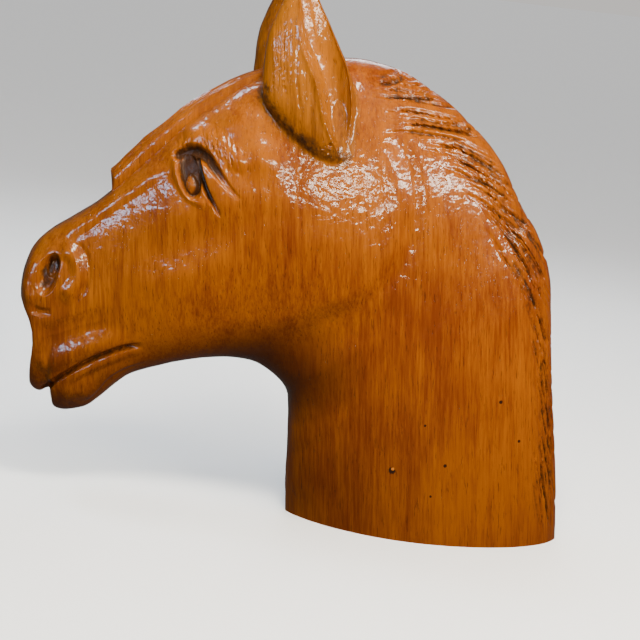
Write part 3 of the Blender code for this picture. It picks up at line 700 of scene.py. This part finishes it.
class Wiring:
    """Adds nodes to a tree: sockets handed in are linked, plain values are set."""

    def __init__(self, tree):
        self.tree = tree

    def fill(self, socket, value):
        if isinstance(value, bpy.types.NodeSocket):
            self.tree.links.new(value, socket)
        else:
            socket.default_value = value

    def node(self, kind, inputs=None, **settings):
        node = self.tree.nodes.new(kind)
        for key, value in settings.items():
            setattr(node, key, value)
        for key, value in (inputs or {}).items():
            self.fill(node.inputs[key], value)
        return node

    def first(self, kind, inputs=None, **settings):
        return self.node(kind, inputs, **settings).outputs[0]

    def math(self, operation, a, b=0.0, c=0.0, clamp=False):
        return self.first("ShaderNodeMath", {0: a, 1: b, 2: c}, operation=operation, use_clamp=clamp)

    def times(self, a, b):
        return self.math("MULTIPLY", a, b)

    def join(self, *parts):
        node = self.tree.nodes.new("GeometryNodeJoinGeometry")
        for part in parts:
            self.tree.links.new(part, node.inputs[0])
        return node.outputs[0]

    def vector(self, operation, a, b=(0.0, 0.0, 0.0)):
        node = self.node("ShaderNodeVectorMath", {0: a, 1: b}, operation=operation)
        return node.outputs["Value" if operation in ("DISTANCE", "DOT_PRODUCT") else "Vector"]

    def scaled(self, vector, factor):
        return self.first("ShaderNodeVectorMath", {0: vector, "Scale": factor}, operation="SCALE")

    def sample(self, cloud, value, index, kind):
        """The value that the cloud's point of that index has."""
        inputs = {"Geometry": cloud, "Value": value, "Index": index}
        return self.first("GeometryNodeSampleIndex", inputs, data_type=kind)

    def mix(self, factor, a, b):
        """Colour mix: its sockets are told apart by identifier, because their names repeat."""
        node = self.node("ShaderNodeMix", data_type="RGBA")
        sockets = {socket.identifier: socket for socket in list(node.inputs) + list(node.outputs)}
        for name, value in (("Factor_Float", factor), ("A_Color", a), ("B_Color", b)):
            self.fill(sockets[name], value)
        return sockets["Result_Color"]

    def ramp(self, value, low, high, to_low=0.0, to_high=1.0):
        """A soft step between two values."""
        inputs = {"Value": value, "From Min": low, "From Max": high, "To Min": to_low, "To Max": to_high}
        return self.first("ShaderNodeMapRange", inputs, interpolation_type="SMOOTHSTEP")


def gouge_tree(look):
    """Geometry Nodes tree that sinks gouge strokes, finer strands and tool marks into a surface."""
    tree = bpy.data.node_groups.new("gouge_strokes", "GeometryNodeTree")
    tree.interface.new_socket("Geometry", in_out="INPUT", socket_type="NodeSocketGeometry")
    tree.interface.new_socket("Strokes", in_out="INPUT", socket_type="NodeSocketObject")
    for key, (name, kind) in GOUGE_INPUTS.items():
        socket = tree.interface.new_socket(name, in_out="INPUT", socket_type=kind)
        socket.default_value = getattr(look, key)
    tree.interface.new_socket("Material", in_out="INPUT", socket_type="NodeSocketMaterial")
    tree.interface.new_socket("Geometry", in_out="OUTPUT", socket_type="NodeSocketGeometry")
    w = Wiring(tree)
    given = w.node("NodeGroupInput").outputs
    position = w.first("GeometryNodeInputPosition")
    normal = w.first("GeometryNodeInputNormal")
    radius = w.first("GeometryNodeInputRadius")

    # Each stroke and, scattered beside it, its thinner strands
    strokes = w.node("GeometryNodeObjectInfo", {"Object": given["Strokes"]}).outputs["Geometry"]
    copies = w.first("GeometryNodeDuplicateElements", {"Geometry": strokes, "Amount": given["Strands"]},
                     domain="SPLINE")
    around = {"Min": (-1.0, 0.0, -1.0), "Max": (1.0, 0.0, 1.0), "Seed": given["Seed"]}
    toss = w.first("FunctionNodeRandomValue", around, data_type="FLOAT_VECTOR")
    aside = w.first("GeometryNodeFieldOnDomain", {"Value": w.scaled(toss, given["Strand Spread"])},
                    domain="CURVE", data_type="FLOAT_VECTOR")
    weak = w.node("FunctionNodeRandomValue", {2: 0.4, 3: 1.0, "Seed": given["Seed"]},
                  data_type="FLOAT").outputs[1]
    weak = w.first("GeometryNodeFieldOnDomain", {"Value": weak}, domain="CURVE", data_type="FLOAT")
    copies = w.first("GeometryNodeSetPosition", {"Geometry": copies, "Offset": aside})
    faint = w.times(w.times(radius, weak), given["Strand Strength"])
    copies = w.first("GeometryNodeSetCurveRadius", {"Curve": copies, "Radius": faint})
    dots = w.first("GeometryNodeCurveToPoints", {"Curve": w.join(strokes, copies), "Length": DOT_GAP},
                   mode="LENGTH")

    # The strokes are drawn side on, and laid on both flanks of the form
    laid = []
    for side in (-1.0, 1.0):
        flat = w.vector("MULTIPLY", position, (1.0, 0.0, 1.0))
        ray = w.node("GeometryNodeRaycast", {
            "Target Geometry": given["Geometry"],
            "Source Position": w.vector("ADD", flat, (0.0, side * OUTSIDE, 0.0)),
            "Ray Direction": (0.0, -side, 0.0),
            "Ray Length": OUTSIDE,
        })
        missed = w.first("FunctionNodeBooleanMath", {0: ray.outputs["Is Hit"]}, operation="NOT")
        there = w.first("GeometryNodeDeleteGeometry", {"Geometry": dots, "Selection": missed}, domain="POINT")
        spot = ray.outputs["Hit Position"]
        laid.append(w.first("GeometryNodeSetPosition", {"Geometry": there, "Position": spot}))
    cloud = w.join(*laid)
    index = w.first("GeometryNodeSampleNearest", {"Geometry": cloud, "Sample Position": position})
    gap = w.vector("DISTANCE", position, w.sample(cloud, position, index, "FLOAT_VECTOR"))
    strength = w.sample(cloud, radius, index, "FLOAT")

    # A V cut with a rounded bottom, narrower where it is shallow, and torn along the grain
    width = w.times(given["Stroke Width"], w.math("MULTIPLY_ADD", strength, 0.6, 0.4))
    reach = w.math("SUBTRACT", 1.0, w.math("DIVIDE", gap, width), clamp=True)
    profile = w.times(reach, w.math("MULTIPLY_ADD", reach, -0.6, 1.6))
    torn = w.node("ShaderNodeTexNoise", {"Vector": position, "Scale": 700.0, "Detail": 1.0}).outputs["Fac"]
    profile = w.times(profile, w.math("MULTIPLY_ADD", torn, 0.9, 0.55))
    share = w.times(profile, strength)
    cut = w.times(share, given["Stroke Depth"])

    # Low facets that knife and rasp leave
    spot = w.scaled(position, w.math("DIVIDE", 1.0, given["Mark Size"]))
    cell = {"Vector": spot, "W": given["Seed"], "Scale": 1.0, "Smoothness": 0.7}
    cells = w.node("ShaderNodeTexVoronoi", cell, voronoi_dimensions="4D", feature="SMOOTH_F1")
    marks = w.times(w.math("SUBTRACT", cells.outputs["Distance"], 0.45), given["Tool Marks"])
    shift = w.scaled(normal, w.math("SUBTRACT", marks, cut))
    kept = w.first("GeometryNodeStoreNamedAttribute",
                   {"Geometry": given["Geometry"], "Name": "cut", "Value": share}, data_type="FLOAT",
                   domain="POINT")
    moved = w.first("GeometryNodeSetPosition", {"Geometry": kept, "Offset": shift})
    smooth = w.first("GeometryNodeSetShadeSmooth", {"Geometry": moved})
    real = w.first("GeometryNodeRealizeInstances", {"Geometry": smooth})
    painted = w.first("GeometryNodeSetMaterial", {"Geometry": real, "Material": given["Material"]})
    w.node("NodeGroupOutput", {0: painted})
    return tree


def stroke_curves(name, strokes, unit):
    """Gouge strokes as one curve object on the middle plane: a point's radius is its strength."""
    data = bpy.data.curves.new(name, "CURVE")
    data.dimensions = "3D"
    for path, strength in strokes:
        line = smooth_path(path, STROKE_SPAN)
        share = run_lengths(line) / run_lengths(line)[-1]
        ends = fade(0.0, 0.35, share) * fade(0.0, 0.15, 1 - share)
        spline = data.splines.new("POLY")
        spline.points.add(len(line) - 1)
        for point, (x, z), end in zip(spline.points, line, ends):
            point.co = (x * unit, 0.0, z * unit, 1.0)
            point.radius = strength * (0.2 + 0.8 * end)
    return show(name, data)


def gouge(obj, tree, paths, material, look):
    """Runs the gouge tree on one object."""
    modifier = obj.modifiers.new("gouges", "NODES")
    modifier.node_group = tree
    values = {name: getattr(look, key) for key, (name, _) in GOUGE_INPUTS.items()}
    values["Strokes"] = paths
    values["Material"] = material
    for item in tree.interface.items_tree:
        if item.in_out == "INPUT" and item.name in values:
            modifier[item.identifier] = values[item.name]


def thin_out(obj, triangles):
    """Fewer facets over the quiet surfaces."""
    obj.data.calc_loop_triangles()
    modifier = obj.modifiers.new("facets", "DECIMATE")
    modifier.ratio = min(1.0, triangles / len(obj.data.loop_triangles))


def set_values(mesh, name, values):
    """Writes one number for each vertex, for the varnish to read."""
    layer = mesh.attributes.new(name, "FLOAT", "POINT")
    layer.data.foreach_set("value", np.ascontiguousarray(values, np.float32))


def get_values(mesh, name):
    """The number that each vertex carries under that name."""
    values = np.zeros(len(mesh.vertices), np.float32)
    mesh.attributes[name].data.foreach_get("value", values)
    return values


def places_of(mesh):
    """Where each vertex lies."""
    places = np.zeros(len(mesh.vertices) * 3, np.float32)
    mesh.vertices.foreach_get("co", places)
    return places.reshape(-1, 3).astype(float)


def edge_ends(mesh):
    """The two vertices of every edge."""
    edges = np.zeros(len(mesh.edges) * 2, np.int32)
    mesh.edges.foreach_get("vertices", edges)
    return edges.reshape(-1, 2).T


def spread(mesh, values, weights, rounds):
    """Each vertex moves towards the mean of its neighbours, as far as its weight lets it."""
    a, b = edge_ends(mesh)
    count = np.maximum(np.bincount(np.concatenate([a, b]), minlength=len(values)), 1)[:, None]
    for _ in range(rounds):
        total = np.stack([np.bincount(a, column[b], len(values)) + np.bincount(b, column[a], len(values))
                          for column in values.T], 1)
        values = values + weights * (total / count - values)
    return values


def gaps_to(points, places):
    """Distance from each place to the nearest of the points."""
    tree = KDTree(len(points))
    for number, point in enumerate(points):
        tree.insert(point, number)
    tree.balance()
    return np.array([tree.find(place)[2] for place in places])


def seam_points(mesh, ear_places):
    """The vertices of the joined mesh where an ear meets the head."""
    places = places_of(mesh)
    of_ear = gaps_to(ear_places, places) < SAME_PLACE
    a, b = edge_ends(mesh)
    crossing = of_ear[a] != of_ear[b]
    return places[np.unique(np.where(of_ear[a], b, a)[crossing])]


def blend_seams(mesh, seam, reach):
    """Finer facets along the seam of each ear, then a soft fillet there."""
    longest = reach * 0.22
    around = reach * 1.3
    full = reach * 0.3
    pull = 0.7
    rounds = 16
    for _ in range(2):
        far = gaps_to(seam, places_of(mesh))
        bm = bmesh.new()
        bm.from_mesh(mesh)
        long = [edge for edge in bm.edges if edge.calc_length() > longest
                and max(far[edge.verts[0].index], far[edge.verts[1].index]) < around]
        bmesh.ops.subdivide_edges(bm, edges=long, cuts=1)
        bmesh.ops.triangulate(bm, faces=[face for face in bm.faces if len(face.verts) > 3])
        bm.to_mesh(mesh)
        bm.free()
    places = places_of(mesh)
    weights = (1 - fade(full, reach, gaps_to(seam, places)))[:, None] * pull
    mesh.vertices.foreach_set("co", spread(mesh, places, weights, rounds).astype(np.float32).ravel())
    mesh.update()


def stain(mesh, ear_places, unit):
    """How dark the hollows are painted with wax, grime and painted shade, how deep the stain and painted
    shade lie low on the neck and under the jaw, and how golden the wood is, for each vertex.
    """
    points = places_of(mesh) / unit
    at = points[:, [0, 2]]
    off = np.abs(points[:, 1])
    side = fade(*FLANK_FADE, off)
    # Painted shade together with dark wax and grime in the hollows of eye, nostril, mouth, ear roots and
    # gouge cuts
    dark = fade(0.5, 2.4, -eye_hollow(at)) * side
    dark = np.maximum(dark, fade(0.9, 3.8, -nostril_hollow(at)) * side * NOSTRIL_DIRT_AND_SHADE)
    lips = np.zeros(len(at))
    cut_mouth(lips, at)
    dark = np.maximum(dark, fade(0.4, 1.8, -lips) * MOUTH_DIRT_AND_SHADE)
    picked, gap, _, _ = along(EAR_BASE, at, 7.0)
    root = np.zeros(len(at))
    root[picked] = (1 - fade(0.0, 5.5, gap)) * fade(9.0, 15.0, off[picked])
    dark = np.maximum(dark, root * EAR_ROOT_DIRT_AND_SHADE)
    dark = np.maximum(dark, GOUGE_DIRT_AND_SHADE * fade(0.08, 0.7, get_values(mesh, "cut")))
    dark = spread(mesh, dark[:, None], 0.5, 2)[:, 0]

    # Darker low on the neck, partly a deeper stain and partly painted shade; painted shade at the throat and
    # in a band under the jaw edge
    deep = NECK_STAIN_AND_SHADE * fade(95.0, 5.0, points[:, 2]) * (1 - 0.2 * fade(-45.0, 30.0, points[:, 0]))
    mound(deep, at, (-74.0, 62.0), (44.0, 26.0), 12.0, 1.0, 1.0)
    jaw_reach = 22.0
    picked, gap, _, _ = along(JAW_EDGE, at, jaw_reach)
    under = np.zeros(len(at))
    under[picked] = 1 - fade(0.0, jaw_reach, gap)
    deep = np.maximum(deep, JAW_SHADE * under)
    gold = 1 - fade(0.8, 3.0, gaps_to(ear_places, places_of(mesh)) / unit)
    gold = np.maximum(gold, NOSE_GOLD * fade(-105.0, -150.0, points[:, 0]))
    set_values(mesh, "hollow_wax_and_shade", np.clip(dark, 0.0, 1.0))
    set_values(mesh, "stain_and_jaw_shade", np.clip(deep, 0.0, 1.0))
    set_values(mesh, "gold", gold)


def saw_base(mesh):
    """Leaves the underside flat."""
    bm = bmesh.new()
    bm.from_mesh(mesh)
    everything = bm.verts[:] + bm.edges[:] + bm.faces[:]
    bmesh.ops.bisect_plane(bm, geom=everything, plane_co=(0, 0, 0), plane_no=(0, 0, -1), clear_outer=True)
    rim = [edge for edge in bm.edges if edge.is_boundary]
    bmesh.ops.holes_fill(bm, edges=rim)
    bm.to_mesh(mesh)
    bm.free()


def varnished_wood(look):
    """Stained hardwood under gloss varnish: grain bands, pore streaks, dark wax and grime with painted shade
    in the hollows, stain and painted shade low on the neck and under the jaw, marks and ripples.
    """
    material = bpy.data.materials.new("varnished_wood")
    material.use_nodes = True
    material.node_tree.nodes.clear()
    w = Wiring(material.node_tree)
    place = w.node("ShaderNodeTexCoord").outputs["Object"]
    turned = w.first("ShaderNodeMapping", {"Vector": place, "Rotation": (0.0, look.grain_tilt, 0.0)})

    def noise(scale, detail=3.0, roughness=0.5, **more):
        inputs = {"Vector": w.vector("MULTIPLY", turned, scale), "Scale": 1.0, "Detail": detail,
                  "Roughness": roughness, **more}
        return w.node("ShaderNodeTexNoise", inputs).outputs["Fac"]

    def layer(name):
        return w.node("ShaderNodeAttribute", attribute_name=name).outputs["Fac"]

    broad = noise(BROAD, 3.0)
    bands = noise(BANDS, 4.0, 0.6, Distortion=0.7)
    fibre = noise(FIBRE, 3.0, 0.7)
    pores = w.ramp(noise(PORES, 2.0, 0.6), 0.60, 0.70)
    grime = noise(GRIME, 5.0, 0.7)
    # Dark wax and grime together with painted shade in the hollows, ragged at its edge; the varnish lies
    # thinner there
    ragged = w.math("MULTIPLY_ADD", w.math("SUBTRACT", grime, 0.5), 2.0, layer("hollow_wax_and_shade"))
    dirt_and_shade = w.times(w.ramp(ragged, 0.12, 0.95), w.ramp(layer("hollow_wax_and_shade"), 0.02, 0.3))

    tone = w.math("ADD", w.times(broad, 0.7), w.times(bands, 0.45))
    tone = w.ramp(w.math("ADD", tone, w.times(fibre, 0.55)), 0.62, 1.08)
    wood = w.mix(tone, tuple(look.deep_wood), tuple(look.light_wood))
    gold = w.mix(tone, tuple(look.ear_grain), tuple(look.ear_wood))
    wood = w.mix(layer("gold"), wood, gold)
    # Painted shade under the jaw and at the throat, together with the deeper stain low on the neck
    wood = w.mix(w.times(layer("stain_and_jaw_shade"), 0.85), wood, tuple(look.low_stain_and_shade))
    wood = w.mix(w.times(pores, 0.5), wood, PORE_BROWN)
    # The hollows darkened: dark wax and grime together with painted shade
    wood = w.mix(w.times(dirt_and_shade, 0.93), wood, tuple(look.hollow_wax_and_shade))
    pattern = w.vector("MULTIPLY", place, (1.0, 0.0, 1.0))
    left = w.math("GREATER_THAN", w.vector("DOT_PRODUCT", place, (0.0, -1.0, 0.0)), 0.0)
    for x, z, size, colour in WEAR_SPOTS:
        edge = w.math("MULTIPLY_ADD", grime, size, w.vector("DISTANCE", pattern, (x, 0.0, z)))
        wood = w.mix(w.times(left, w.ramp(edge, size * 1.6, size * 1.1)), wood, colour)

    rough = w.math("SUBTRACT", w.times(bands, 0.3), w.times(pores, 0.5))
    rough = w.math("MULTIPLY_ADD", w.times(grime, layer("hollow_wax_and_shade")), 3.0, rough)
    bump = w.first("ShaderNodeBump", {"Height": rough, "Strength": 0.5, "Distance": 0.0002})
    ripple = w.node("ShaderNodeTexNoise", {"Vector": place, "Scale": look.ripple_scale, "Detail": 2.0,
                                           "Roughness": 0.45}).outputs["Fac"]
    film = w.math("SUBTRACT", ripple, w.times(pores, 0.12))
    coat = w.first("ShaderNodeBump", {"Height": film, "Strength": 1.0, "Distance": look.ripple_height,
                                      "Normal": bump})
    shader = w.first("ShaderNodeBsdfPrincipled", {
        "Base Color": wood,
        "Roughness": w.ramp(fibre, 0.2, 0.9, 0.35, 0.55),
        "Specular IOR Level": 0.1,
        "Normal": bump,
        "Coat Weight": w.ramp(dirt_and_shade, 0.2, 0.9, 1.0, 0.35),
        "Coat Roughness": w.ramp(grime, 0.35, 0.7, 0.09, 0.19),
        "Coat IOR": 1.5,
        "Coat Normal": coat,
    })
    w.node("ShaderNodeOutputMaterial", {"Surface": shader})
    return material


def number(name, description, default, **more):
    return FloatProperty(name=name, description=description, default=default, **more)


def length(name, description, default, **more):
    return number(name, description, default, unit="LENGTH", subtype="DISTANCE", **more)


def angle(name, description, default):
    return number(name, description, default, unit="ROTATION", subtype="ANGLE")


def count(name, description, default, **more):
    return IntProperty(name=name, description=description, default=default, **more)


def wood_colour(name, description, colour):
    return FloatVectorProperty(name=name, description=description, default=colour + (1.0,), size=4, min=0.0,
                               max=1.0, subtype="COLOR")


class CarvingSettings(bpy.types.PropertyGroup):
    height: length("Height", "From the sawn underside to the ear tips", 0.23, min=0.05, max=1.0)
    rings: count("Rings", "Sections between muzzle and base", 760, min=60)
    spokes: count("Spokes", "Points around each section", 720, min=64)
    triangles: count("Triangles", "Facets kept on head and neck", 140000, min=5000)
    ear_triangles: count("Ear triangles", "Facets kept on each ear", 14000, min=500)
    fillet: length("Fillet", "How far the root of an ear is blended into the head", 0.0035, min=0.0005)


class GougeSettings(bpy.types.PropertyGroup):
    stroke_width: length("Stroke width", "Half width of a full gouge stroke", 0.0017, min=0.0001)
    stroke_depth: length("Stroke depth", "Depth of a full gouge stroke", 0.0016, min=0.0)
    strands: count("Strands", "Thin strands beside each stroke", 9, min=1)
    strand_spread: length("Strand spread", "How far strands stray from their stroke", 0.0045, min=0.0)
    strand_strength: number("Strand strength", "Depth of strands as a share of their stroke", 0.6,
                            min=0.0, subtype="FACTOR")
    tool_marks: length("Tool marks", "Unevenness left by knife and rasp", 0.0003, min=0.0)
    mark_size: length("Mark size", "Width of one tool mark", 0.007, min=0.001)
    seed: count("Seed", "Moves strands and tool marks to other places", 3)


class VarnishSettings(bpy.types.PropertyGroup):
    light_wood: wood_colour("Light wood", "Amber between the grain bands", (0.50, 0.128, 0.0))
    deep_wood: wood_colour("Deep wood", "Red-brown of the grain bands", (0.21, 0.034, 0.0))
    ear_wood: wood_colour("Ear wood", "Golden olive of ears and nose", (0.48, 0.140, 0.002))
    ear_grain: wood_colour("Ear grain", "Grain bands of ears and nose", (0.15, 0.040, 0.001))
    # Colour of the deeper stain low on the neck together with the painted shade there, at the throat and
    # under the jaw
    low_stain_and_shade: wood_colour("Low wood", "Deep stain low on the neck and under the jaw", (0.060, 0.010, 0.0))
    # Colour of the dark wax and grime together with the painted shade laid in the hollows and cuts
    hollow_wax_and_shade: wood_colour("Patina", "Dark wax and dirt in the cuts", (0.034, 0.016, 0.008))
    grain_tilt: angle("Grain tilt", "Lean of the grain from upright, in the side view", 0.12)
    ripple_scale: number("Ripple scale", "Ripples of the varnish, in waves a metre", 260.0, min=1.0)
    ripple_height: length("Ripple height", "Height of the varnish ripples", 0.00045, min=0.0, precision=5)


class StudioSettings(bpy.types.PropertyGroup):
    distance: length("Camera distance", "From the camera to the bust", 0.73, min=0.1)
    azimuth: angle("Azimuth", "Turn of the camera around the bust", math.radians(-3.5))
    elevation: angle("Elevation", "How far the camera looks down", math.radians(11.5))
    roll: angle("Roll", "Tilt of the picture", math.radians(6.9))
    pixel: length("Pixel size", "Size of one picture element at the bust", 0.00043, min=0.00001, precision=6)
    light_power: number("Light", "Strength of all the lights together", 1.0, min=0.0, subtype="FACTOR")
    floor_power: number("Floor light", "Strength of the light on the floor alone", 2.4, min=0.0)
    horizon: number("Horizon", "Brightness of the background beyond the floor", 0.68, min=0.0)
    surroundings: number("Surroundings", "Brightness of the room around the bust", 0.09, min=0.0)


class HORSE_OT_carve_head(bpy.types.Operator):
    """Carve the head and neck with cheek, eyes, nostrils, mouth and forelock"""

    bl_idname = "horse_bust.carve_head"
    bl_label = "Carve Head and Neck"

    def execute(self, context):
        sizes = context.scene.horse_carving
        unit = sizes.height / PATTERN
        show("carved_head", ring_mesh("carved_head", head_points(sizes.rings, sizes.spokes) * unit))
        return {"FINISHED"}


class HORSE_OT_carve_ears(bpy.types.Operator):
    """Carve the two ears with their hollows"""

    bl_idname = "horse_bust.carve_ears"
    bl_label = "Carve Ears"

    def execute(self, context):
        unit = context.scene.horse_carving.height / PATTERN
        for name, side in (("ear_near", -1), ("ear_far", 1)):
            points = ear_points(side, *EAR_GRID) * unit
            show(name, ring_mesh(name, points, outward=side < 0))
        return {"FINISHED"}


class HORSE_OT_cut_gouges(bpy.types.Operator):
    """Cut the strokes of mane, ears and brow, leave tool marks, join the ears on and stain the wood"""

    bl_idname = "horse_bust.cut_gouges"
    bl_label = "Cut Gouges"

    def execute(self, context):
        sizes = context.scene.horse_carving
        unit = sizes.height / PATTERN
        look = context.scene.horse_gouges
        tree = gouge_tree(look)
        on_head = stroke_curves("head_strokes", MANE_STROKES + BROW_STROKES, unit)
        on_ears = stroke_curves("ear_strokes", EAR_STROKES, unit)
        material = varnished_wood(context.scene.horse_varnish)
        head = take("carved_head")
        ears = [take("ear_near"), take("ear_far")]
        for obj in [head] + ears:
            paths = on_head if obj == head else on_ears
            gouge(obj, tree, paths, material, look)
            thin_out(obj, sizes.triangles if obj == head else sizes.ear_triangles)
            bake_modifiers(obj)
        ear_places = np.vstack([places_of(ear.data) for ear in ears])
        for ear in ears:
            modifier = head.modifiers.new(ear.name, "BOOLEAN")
            modifier.operation = "UNION"
            modifier.solver = "EXACT"
            modifier.object = ear
        bake_modifiers(head)
        for obj in ears + [on_head, on_ears]:
            bpy.data.objects.remove(obj)
        blend_seams(head.data, seam_points(head.data, ear_places), sizes.fillet)
        saw_base(head.data)
        stain(head.data, ear_places, unit)
        head.data.set_sharp_from_angle(angle=math.radians(SHARP_EDGE))
        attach(head, "root")
        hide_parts("horse_head")
        return {"FINISHED"}


class HORSE_OT_set_stage(bpy.types.Operator):
    """Set up the floor, the lights and the camera"""

    bl_idname = "horse_bust.set_stage"
    bl_label = "Set Stage"

    def execute(self, context):
        look = context.scene.horse_studio
        context.scene.camera = aim_camera(look)
        hang_lights(look)
        light_room(context.scene, look)
        lay_floor(look)
        return {"FINISHED"}


def direction(azimuth, elevation):
    """From the bust outwards: azimuth 0 is the side that the camera is on, 90 degrees is behind the mane."""
    across = math.cos(elevation)
    return Vector((math.sin(azimuth) * across, -math.cos(azimuth) * across, math.sin(elevation)))


def aim_camera(look):
    """A camera that sees the bust as the photograph does, with the base at its place in the picture."""
    back = direction(look.azimuth, look.elevation)
    level = Vector((math.cos(look.azimuth), math.sin(look.azimuth), 0.0))
    above = back.cross(level)
    right = level * math.cos(look.roll) + above * math.sin(look.roll)
    up = above * math.cos(look.roll) - level * math.sin(look.roll)
    aim_x = (BASE_IN_PICTURE[0] - PICTURE / 2) * look.pixel
    aim_y = (PICTURE / 2 - BASE_IN_PICTURE[1]) * look.pixel
    spot = back * look.distance - right * aim_x - up * aim_y
    data = bpy.data.cameras.new("camera")
    data.sensor_width = SENSOR
    data.lens = SENSOR * look.distance / (PICTURE * look.pixel)
    data.clip_start = 0.01
    camera = show("camera", data)
    camera.matrix_world = Matrix.Translation(spot) @ Matrix((right, up, back)).transposed().to_4x4()
    return camera


def hang_lights(look):
    """Soft panels around the bust. Each stands where the varnish mirrors it as in the photograph."""
    for name, azimuth, height, distance, size, power, colour in LIGHTS:
        data = bpy.data.lights.new(name, "AREA")
        data.shape = "RECTANGLE"
        data.size, data.size_y = size
        data.energy = power * look.light_power
        data.color = colour
        lamp = show(name, data)
        toward = direction(math.radians(azimuth), math.radians(height))
        lamp.location = LIT_MIDDLE + toward * distance
        lamp.rotation_euler = (-toward).to_track_quat("-Z", "Y").to_euler()


def light_room(scene, look):
    """A dim room, with a pale background where the picture looks past the floor."""
    world = scene.world or bpy.data.worlds.new("studio")
    scene.world = world
    world.use_nodes = True
    shade = world.node_tree.nodes["Background"]
    shade.inputs["Color"].default_value = (1.0, 0.96, 0.92, 1.0)
    w = Wiring(world.node_tree)
    seen = w.node("ShaderNodeLightPath").outputs["Is Camera Ray"]
    strength = w.math("MULTIPLY_ADD", seen, look.horizon - look.surroundings, look.surroundings)
    w.fill(shade.inputs["Strength"], strength)


def lay_floor(look):
    """A plain pale floor that throws no light up at the bust, with a soft wash of light of its own."""
    corners = [(x * FLOOR_REACH, y * FLOOR_REACH, 0.0) for x, y in ((-1, -1), (1, -1), (1, 1), (-1, 1))]
    mesh = bpy.data.meshes.new("floor")
    mesh.from_pydata(corners, [], [(0, 1, 2, 3)])
    floor = show("floor", mesh)
    floor.visible_diffuse = False
    floor.visible_glossy = False
    paint = bpy.data.materials.new("pale_floor")
    paint.use_nodes = True
    shader = paint.node_tree.nodes["Principled BSDF"]
    shader.inputs["Base Color"].default_value = (0.80, 0.80, 0.80, 1.0)
    shader.inputs["Roughness"].default_value = 0.9
    shader.inputs["Specular IOR Level"].default_value = 0.0
    mesh.materials.append(paint)
    data = bpy.data.lights.new("floor_wash", "SUN")
    data.energy = look.floor_power
    data.angle = math.radians(WASH_SOFTNESS)
    lit = bpy.data.collections.new("floor_alone")
    lit.objects.link(floor)
    show("floor_wash", data).light_linking.receiver_collection = lit


class HORSE_PT_panel(bpy.types.Panel):
    bl_label = "Carved Horse Head Bust"
    bl_idname = "HORSE_PT_panel"
    bl_space_type = "VIEW_3D"
    bl_region_type = "UI"
    bl_category = "Horse Bust"

    def draw(self, context):
        for operator in OPERATORS:
            self.layout.operator(operator.bl_idname)
        for name, group in SETTINGS:
            box = self.layout.box()
            for key in group.__annotations__:
                box.prop(getattr(context.scene, name), key)


OPERATORS = (HORSE_OT_carve_head, HORSE_OT_carve_ears, HORSE_OT_cut_gouges, HORSE_OT_set_stage)
SETTINGS = (
    ("horse_carving", CarvingSettings),
    ("horse_gouges", GougeSettings),
    ("horse_varnish", VarnishSettings),
    ("horse_studio", StudioSettings),
)


def register():
    for name, group in SETTINGS:
        bpy.utils.register_class(group)
        setattr(bpy.types.Scene, name, PointerProperty(type=group))
    for kind in OPERATORS + (HORSE_PT_panel,):
        bpy.utils.register_class(kind)


def unregister():
    for kind in (HORSE_PT_panel,) + OPERATORS[::-1]:
        bpy.utils.unregister_class(kind)
    for name, group in SETTINGS[::-1]:
        delattr(bpy.types.Scene, name)
        bpy.utils.unregister_class(group)


def main():
    register()
    bpy.ops.horse_bust.carve_head()
    bpy.ops.horse_bust.carve_ears()
    bpy.ops.horse_bust.cut_gouges()
    bpy.ops.horse_bust.set_stage()


if __name__ == "__main__":
    main()
